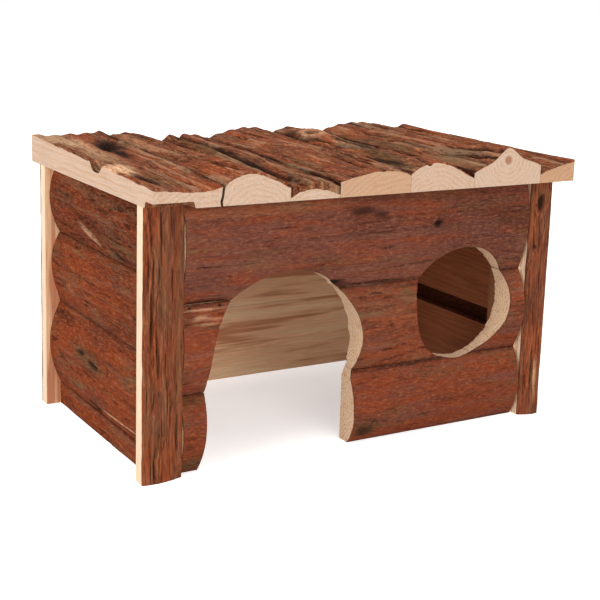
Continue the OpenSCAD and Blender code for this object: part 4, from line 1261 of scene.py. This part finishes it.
class BARKHOUSE_OT_roof(bpy.types.Operator):
    """Roof: seven tapering slabs laid front to back, with pale sawn ends"""

    bl_idname = "barkhouse.roof"
    bl_label = "Roof"

    def execute(self, context):
        size = settings()
        front_at = rear_at = node_box("roof_slab_1", "roof")[1][1]
        for i, slab in enumerate(ROOF):
            node = f"roof_slab_{i + 1}"
            low, high = node_box(node, "roof")
            t, u = grid_shares(high[0] - low[0], max(slab.front, slab.rear))
            # Across runs to the left, so a slab starts at its right edge
            near = between(front_at - slab.front, rear_at - slab.rear, t) + size.joint / 2
            far = between(front_at, rear_at, t) - size.joint / 2
            front_at -= slab.front
            rear_at -= slab.rear
            y = between(low[0], high[0], t)
            across = between(near, far, u)
            form = wandering(u, t, slab.right, slab.crest, slab.left, 1 - slab.peak, ROOF_STEP + i)
            form = form + slab.rise * t
            relief = roof_relief(i, t, 1 - u, between(slab.front, slab.rear, t), high[0] - low[0])
            if i == BRANCH_KNOT["slab"]:
                middle = front_at + slab.front / 2
                bump_share = np.exp(-((across - middle) / BRANCH_KNOT["half_width"]) ** 2)
                fading = np.exp(-((y - low[0]) / BRANCH_KNOT["length"]) ** 2)
                form = form + BRANCH_KNOT["height"] * bump_share * fading
            pith = (front_at + slab.front - slab.pith[0], slab.pith[1])
            sides = ("low",) if i == 0 else ("high",) if i == len(ROOF) - 1 else ("low", "high")
            extra = {"barked": sides, "tint": slab.tint}
            if i < 2:
                edge, opening = (1 - u, 0.5) if i == 0 else (u, -0.5)
                fade = SPLIT["width"] * np.exp(-(y - low[0]) / SPLIT["reach"]) * smooth(edge, 0.9, 1.0)
                across = across + fade * opening
                extra["split"] = [fade * jag for jag in SPLIT["jags"]]
            if i == 0:
                post = node_box("front_left_post", "roof")[0]
                before_post = smooth(post[0] - y, 0, 1) * smooth(across - post[1], 0, 1)
                extra["floor"] = size.notch * before_post
            build_slab(node, "roof", "shaggy", FIRST_SLABS["roof"] + i, y, across, form, pith,
                       skin_share=slab.bark, relief_form=relief, **extra)
        return {"FINISHED"}


class BARKHOUSE_OT_battens(bpy.types.Operator):
    """Battens and cleat inside the house: planed strips, kept as packed"""

    bl_idname = "barkhouse.battens"
    bl_label = "Battens"

    def execute(self, context):
        colours = context.scene.bark_house_colours
        strip = wood_material("planed_strip", colours.strip, colours.shaded_and_batten_grain, spacing=3.0, lines=0.6,
                              on_slab=False)
        dress("planed_wood", strip)
        return {"FINISHED"}


class BARKHOUSE_OT_brads(bpy.types.Operator):
    """Wire brads, kept as packed"""

    bl_idname = "barkhouse.brads"
    bl_label = "Brads"

    def execute(self, context):
        colours = context.scene.bark_house_colours
        material, g = surface("brad_wire")
        rust = g.grain(g.add("ShaderNodeTexCoord").outputs["Object"], RUST_WAVES, RUST_WAVES)
        colour = g.blend(g.ramp(rust, 0.5, 0.7), colours.steel, colours.rust)
        roughness = g.ramp(rust, 0.4, 0.7, 0.35, 0.7)
        close_surface(g, {"Base Color": colour, "Roughness": roughness, "Metallic": 1.0})
        dress("brad_steel", material)
        return {"FINISHED"}


def dress(slot, material):
    """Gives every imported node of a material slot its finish."""
    for part in frame["record"]["subparts"]:
        if part["material_slot"] == slot:
            mesh = frame["nodes"][part["node"]].data
            mesh.materials.clear()
            mesh.materials.append(material)


def direct_rays(graph):
    """1 for rays that show a surface to the camera, also mirrored or through glass, and 0 for the rest."""
    seen = graph.add("ShaderNodeLightPath").outputs
    turned = graph.math("MAXIMUM", seen["Is Glossy Ray"], seen["Is Transmission Ray"])
    return graph.math("MAXIMUM", seen["Is Camera Ray"], turned)


class BARKHOUSE_OT_stage(bpy.types.Operator):
    """Pale floor, soft studio light and the camera"""

    bl_idname = "barkhouse.stage"
    bl_label = "Stage"

    def execute(self, context):
        self.floor()
        self.world(context.scene)
        for name, lamp in LAMPS.items():
            self.lamp(name, *lamp)
        self.camera(context.scene)
        context.scene.view_settings.view_transform = "Standard"
        return {"FINISHED"}

    @staticmethod
    def floor():
        """Flat sheet under the house, a little brighter to the camera so that it meets the background, and
        less so close to the house, which paints a soft shade round it.
        """
        mesh = bpy.data.meshes.new("floor")
        sides = ((-1, -1), (1, -1), (1, 1), (-1, 1))
        mesh.from_pydata([(x * FLOOR_HALF, y * FLOOR_HALF, 0) for x, y in sides], [], [(0, 1, 2, 3)])
        floor = bpy.data.objects.new("floor", mesh)
        bpy.context.scene.collection.objects.link(floor)
        material, g = surface("pale_floor")
        paper = g.add("ShaderNodeBsdfDiffuse", {"Color": PAPER}).outputs[0]
        place = g.add("ShaderNodeSeparateXYZ", {0: g.add("ShaderNodeTexCoord").outputs["Object"]}).outputs
        behind = g.times(g.math("ABSOLUTE", place["Y"]), GLOW_DEPTH)
        far = g.math("MAXIMUM", g.math("ABSOLUTE", place["X"]), behind)
        strength = g.times(direct_rays(g), g.ramp(far, *FLOOR_GLOW))
        glow = g.add("ShaderNodeEmission", {"Color": WHITE, "Strength": strength})
        both = g.add("ShaderNodeAddShader", {0: paper, 1: glow.outputs[0]}).outputs[0]
        g.add("ShaderNodeOutputMaterial", {"Surface": both})
        mesh.materials.append(material)

    @staticmethod
    def world(scene):
        """White surroundings: full white to the camera, softer as light."""
        world = bpy.data.worlds.new("studio")
        world.use_nodes = True
        scene.world = world
        g = Graph(world.node_tree)
        strength = g.ramp(direct_rays(g), 0.0, 1.0, WORLD_LIGHT, 1.0)
        back = g.add("ShaderNodeBackground", {"Color": WHITE, "Strength": strength})
        g.add("ShaderNodeOutputWorld", {"Surface": back.outputs[0]})

    @staticmethod
    def lamp(name, place, size, power):
        """Square soft light that faces the house."""
        data = bpy.data.lights.new(name, "AREA")
        data.size = size
        data.energy = power
        lamp = bpy.data.objects.new(name, data)
        lamp.location = place
        lamp.rotation_euler = (LAMP_AIM - Vector(place)).to_track_quat("-Z", "Y").to_euler()
        bpy.context.scene.collection.objects.link(lamp)

    @staticmethod
    def camera(scene):
        """Camera left of the front and a little above it, with its frame shifted down."""
        turn, tilt, roll = (math.radians(CAMERA[key]) for key in ("turn", "tilt", "roll"))
        back = Vector((math.sin(turn) * math.cos(tilt), -math.cos(turn) * math.cos(tilt), math.sin(tilt)))
        right = Vector((0, 0, 1)).cross(back).normalized()
        up = back.cross(right)
        level = right
        right = level * math.cos(roll) + up * math.sin(roll)
        up = up * math.cos(roll) - level * math.sin(roll)
        data = bpy.data.cameras.new("camera")
        data.sensor_width = CAMERA["sensor"]
        data.lens = CAMERA["lens"]
        data.shift_y = CAMERA["shift"]
        camera = bpy.data.objects.new("camera", data)
        axes = Matrix((right, up, back)).transposed().to_4x4()
        camera.matrix_world = Matrix.Translation(CAMERA["place"]) @ axes
        scene.collection.objects.link(camera)
        scene.camera = camera


OPERATORS = (
    BARKHOUSE_OT_posts,
    BARKHOUSE_OT_front_wall,
    BARKHOUSE_OT_side_walls,
    BARKHOUSE_OT_rear_wall,
    BARKHOUSE_OT_roof,
    BARKHOUSE_OT_battens,
    BARKHOUSE_OT_brads,
    BARKHOUSE_OT_stage,
)


class BARKHOUSE_PT_panel(bpy.types.Panel):
    """Buttons for the pieces of the house, and its sizes and colours"""

    bl_idname = "BARKHOUSE_PT_panel"
    bl_label = "Bark House"
    bl_space_type = "VIEW_3D"
    bl_region_type = "UI"
    bl_category = "Bark House"

    def draw(self, context):
        for operator in OPERATORS:
            self.layout.operator(operator.bl_idname)
        for group in (context.scene.bark_house_sizes, context.scene.bark_house_colours):
            for key in type(group).__annotations__:
                self.layout.prop(group, key)


CLASSES = (BarkHouseSizes, BarkHouseColours, *OPERATORS, BARKHOUSE_PT_panel)


def register():
    for cls in CLASSES:
        bpy.utils.register_class(cls)
    bpy.types.Scene.bark_house_sizes = PointerProperty(type=BarkHouseSizes)
    bpy.types.Scene.bark_house_colours = PointerProperty(type=BarkHouseColours)


def unregister():
    del bpy.types.Scene.bark_house_colours
    del bpy.types.Scene.bark_house_sizes
    for cls in reversed(CLASSES):
        bpy.utils.unregister_class(cls)


def main():
    register()
    bpy.ops.barkhouse.posts()
    bpy.ops.barkhouse.front_wall()
    bpy.ops.barkhouse.side_walls()
    bpy.ops.barkhouse.rear_wall()
    bpy.ops.barkhouse.roof()
    bpy.ops.barkhouse.battens()
    bpy.ops.barkhouse.brads()
    bpy.ops.barkhouse.stage()


if __name__ == "__main__":
    main()
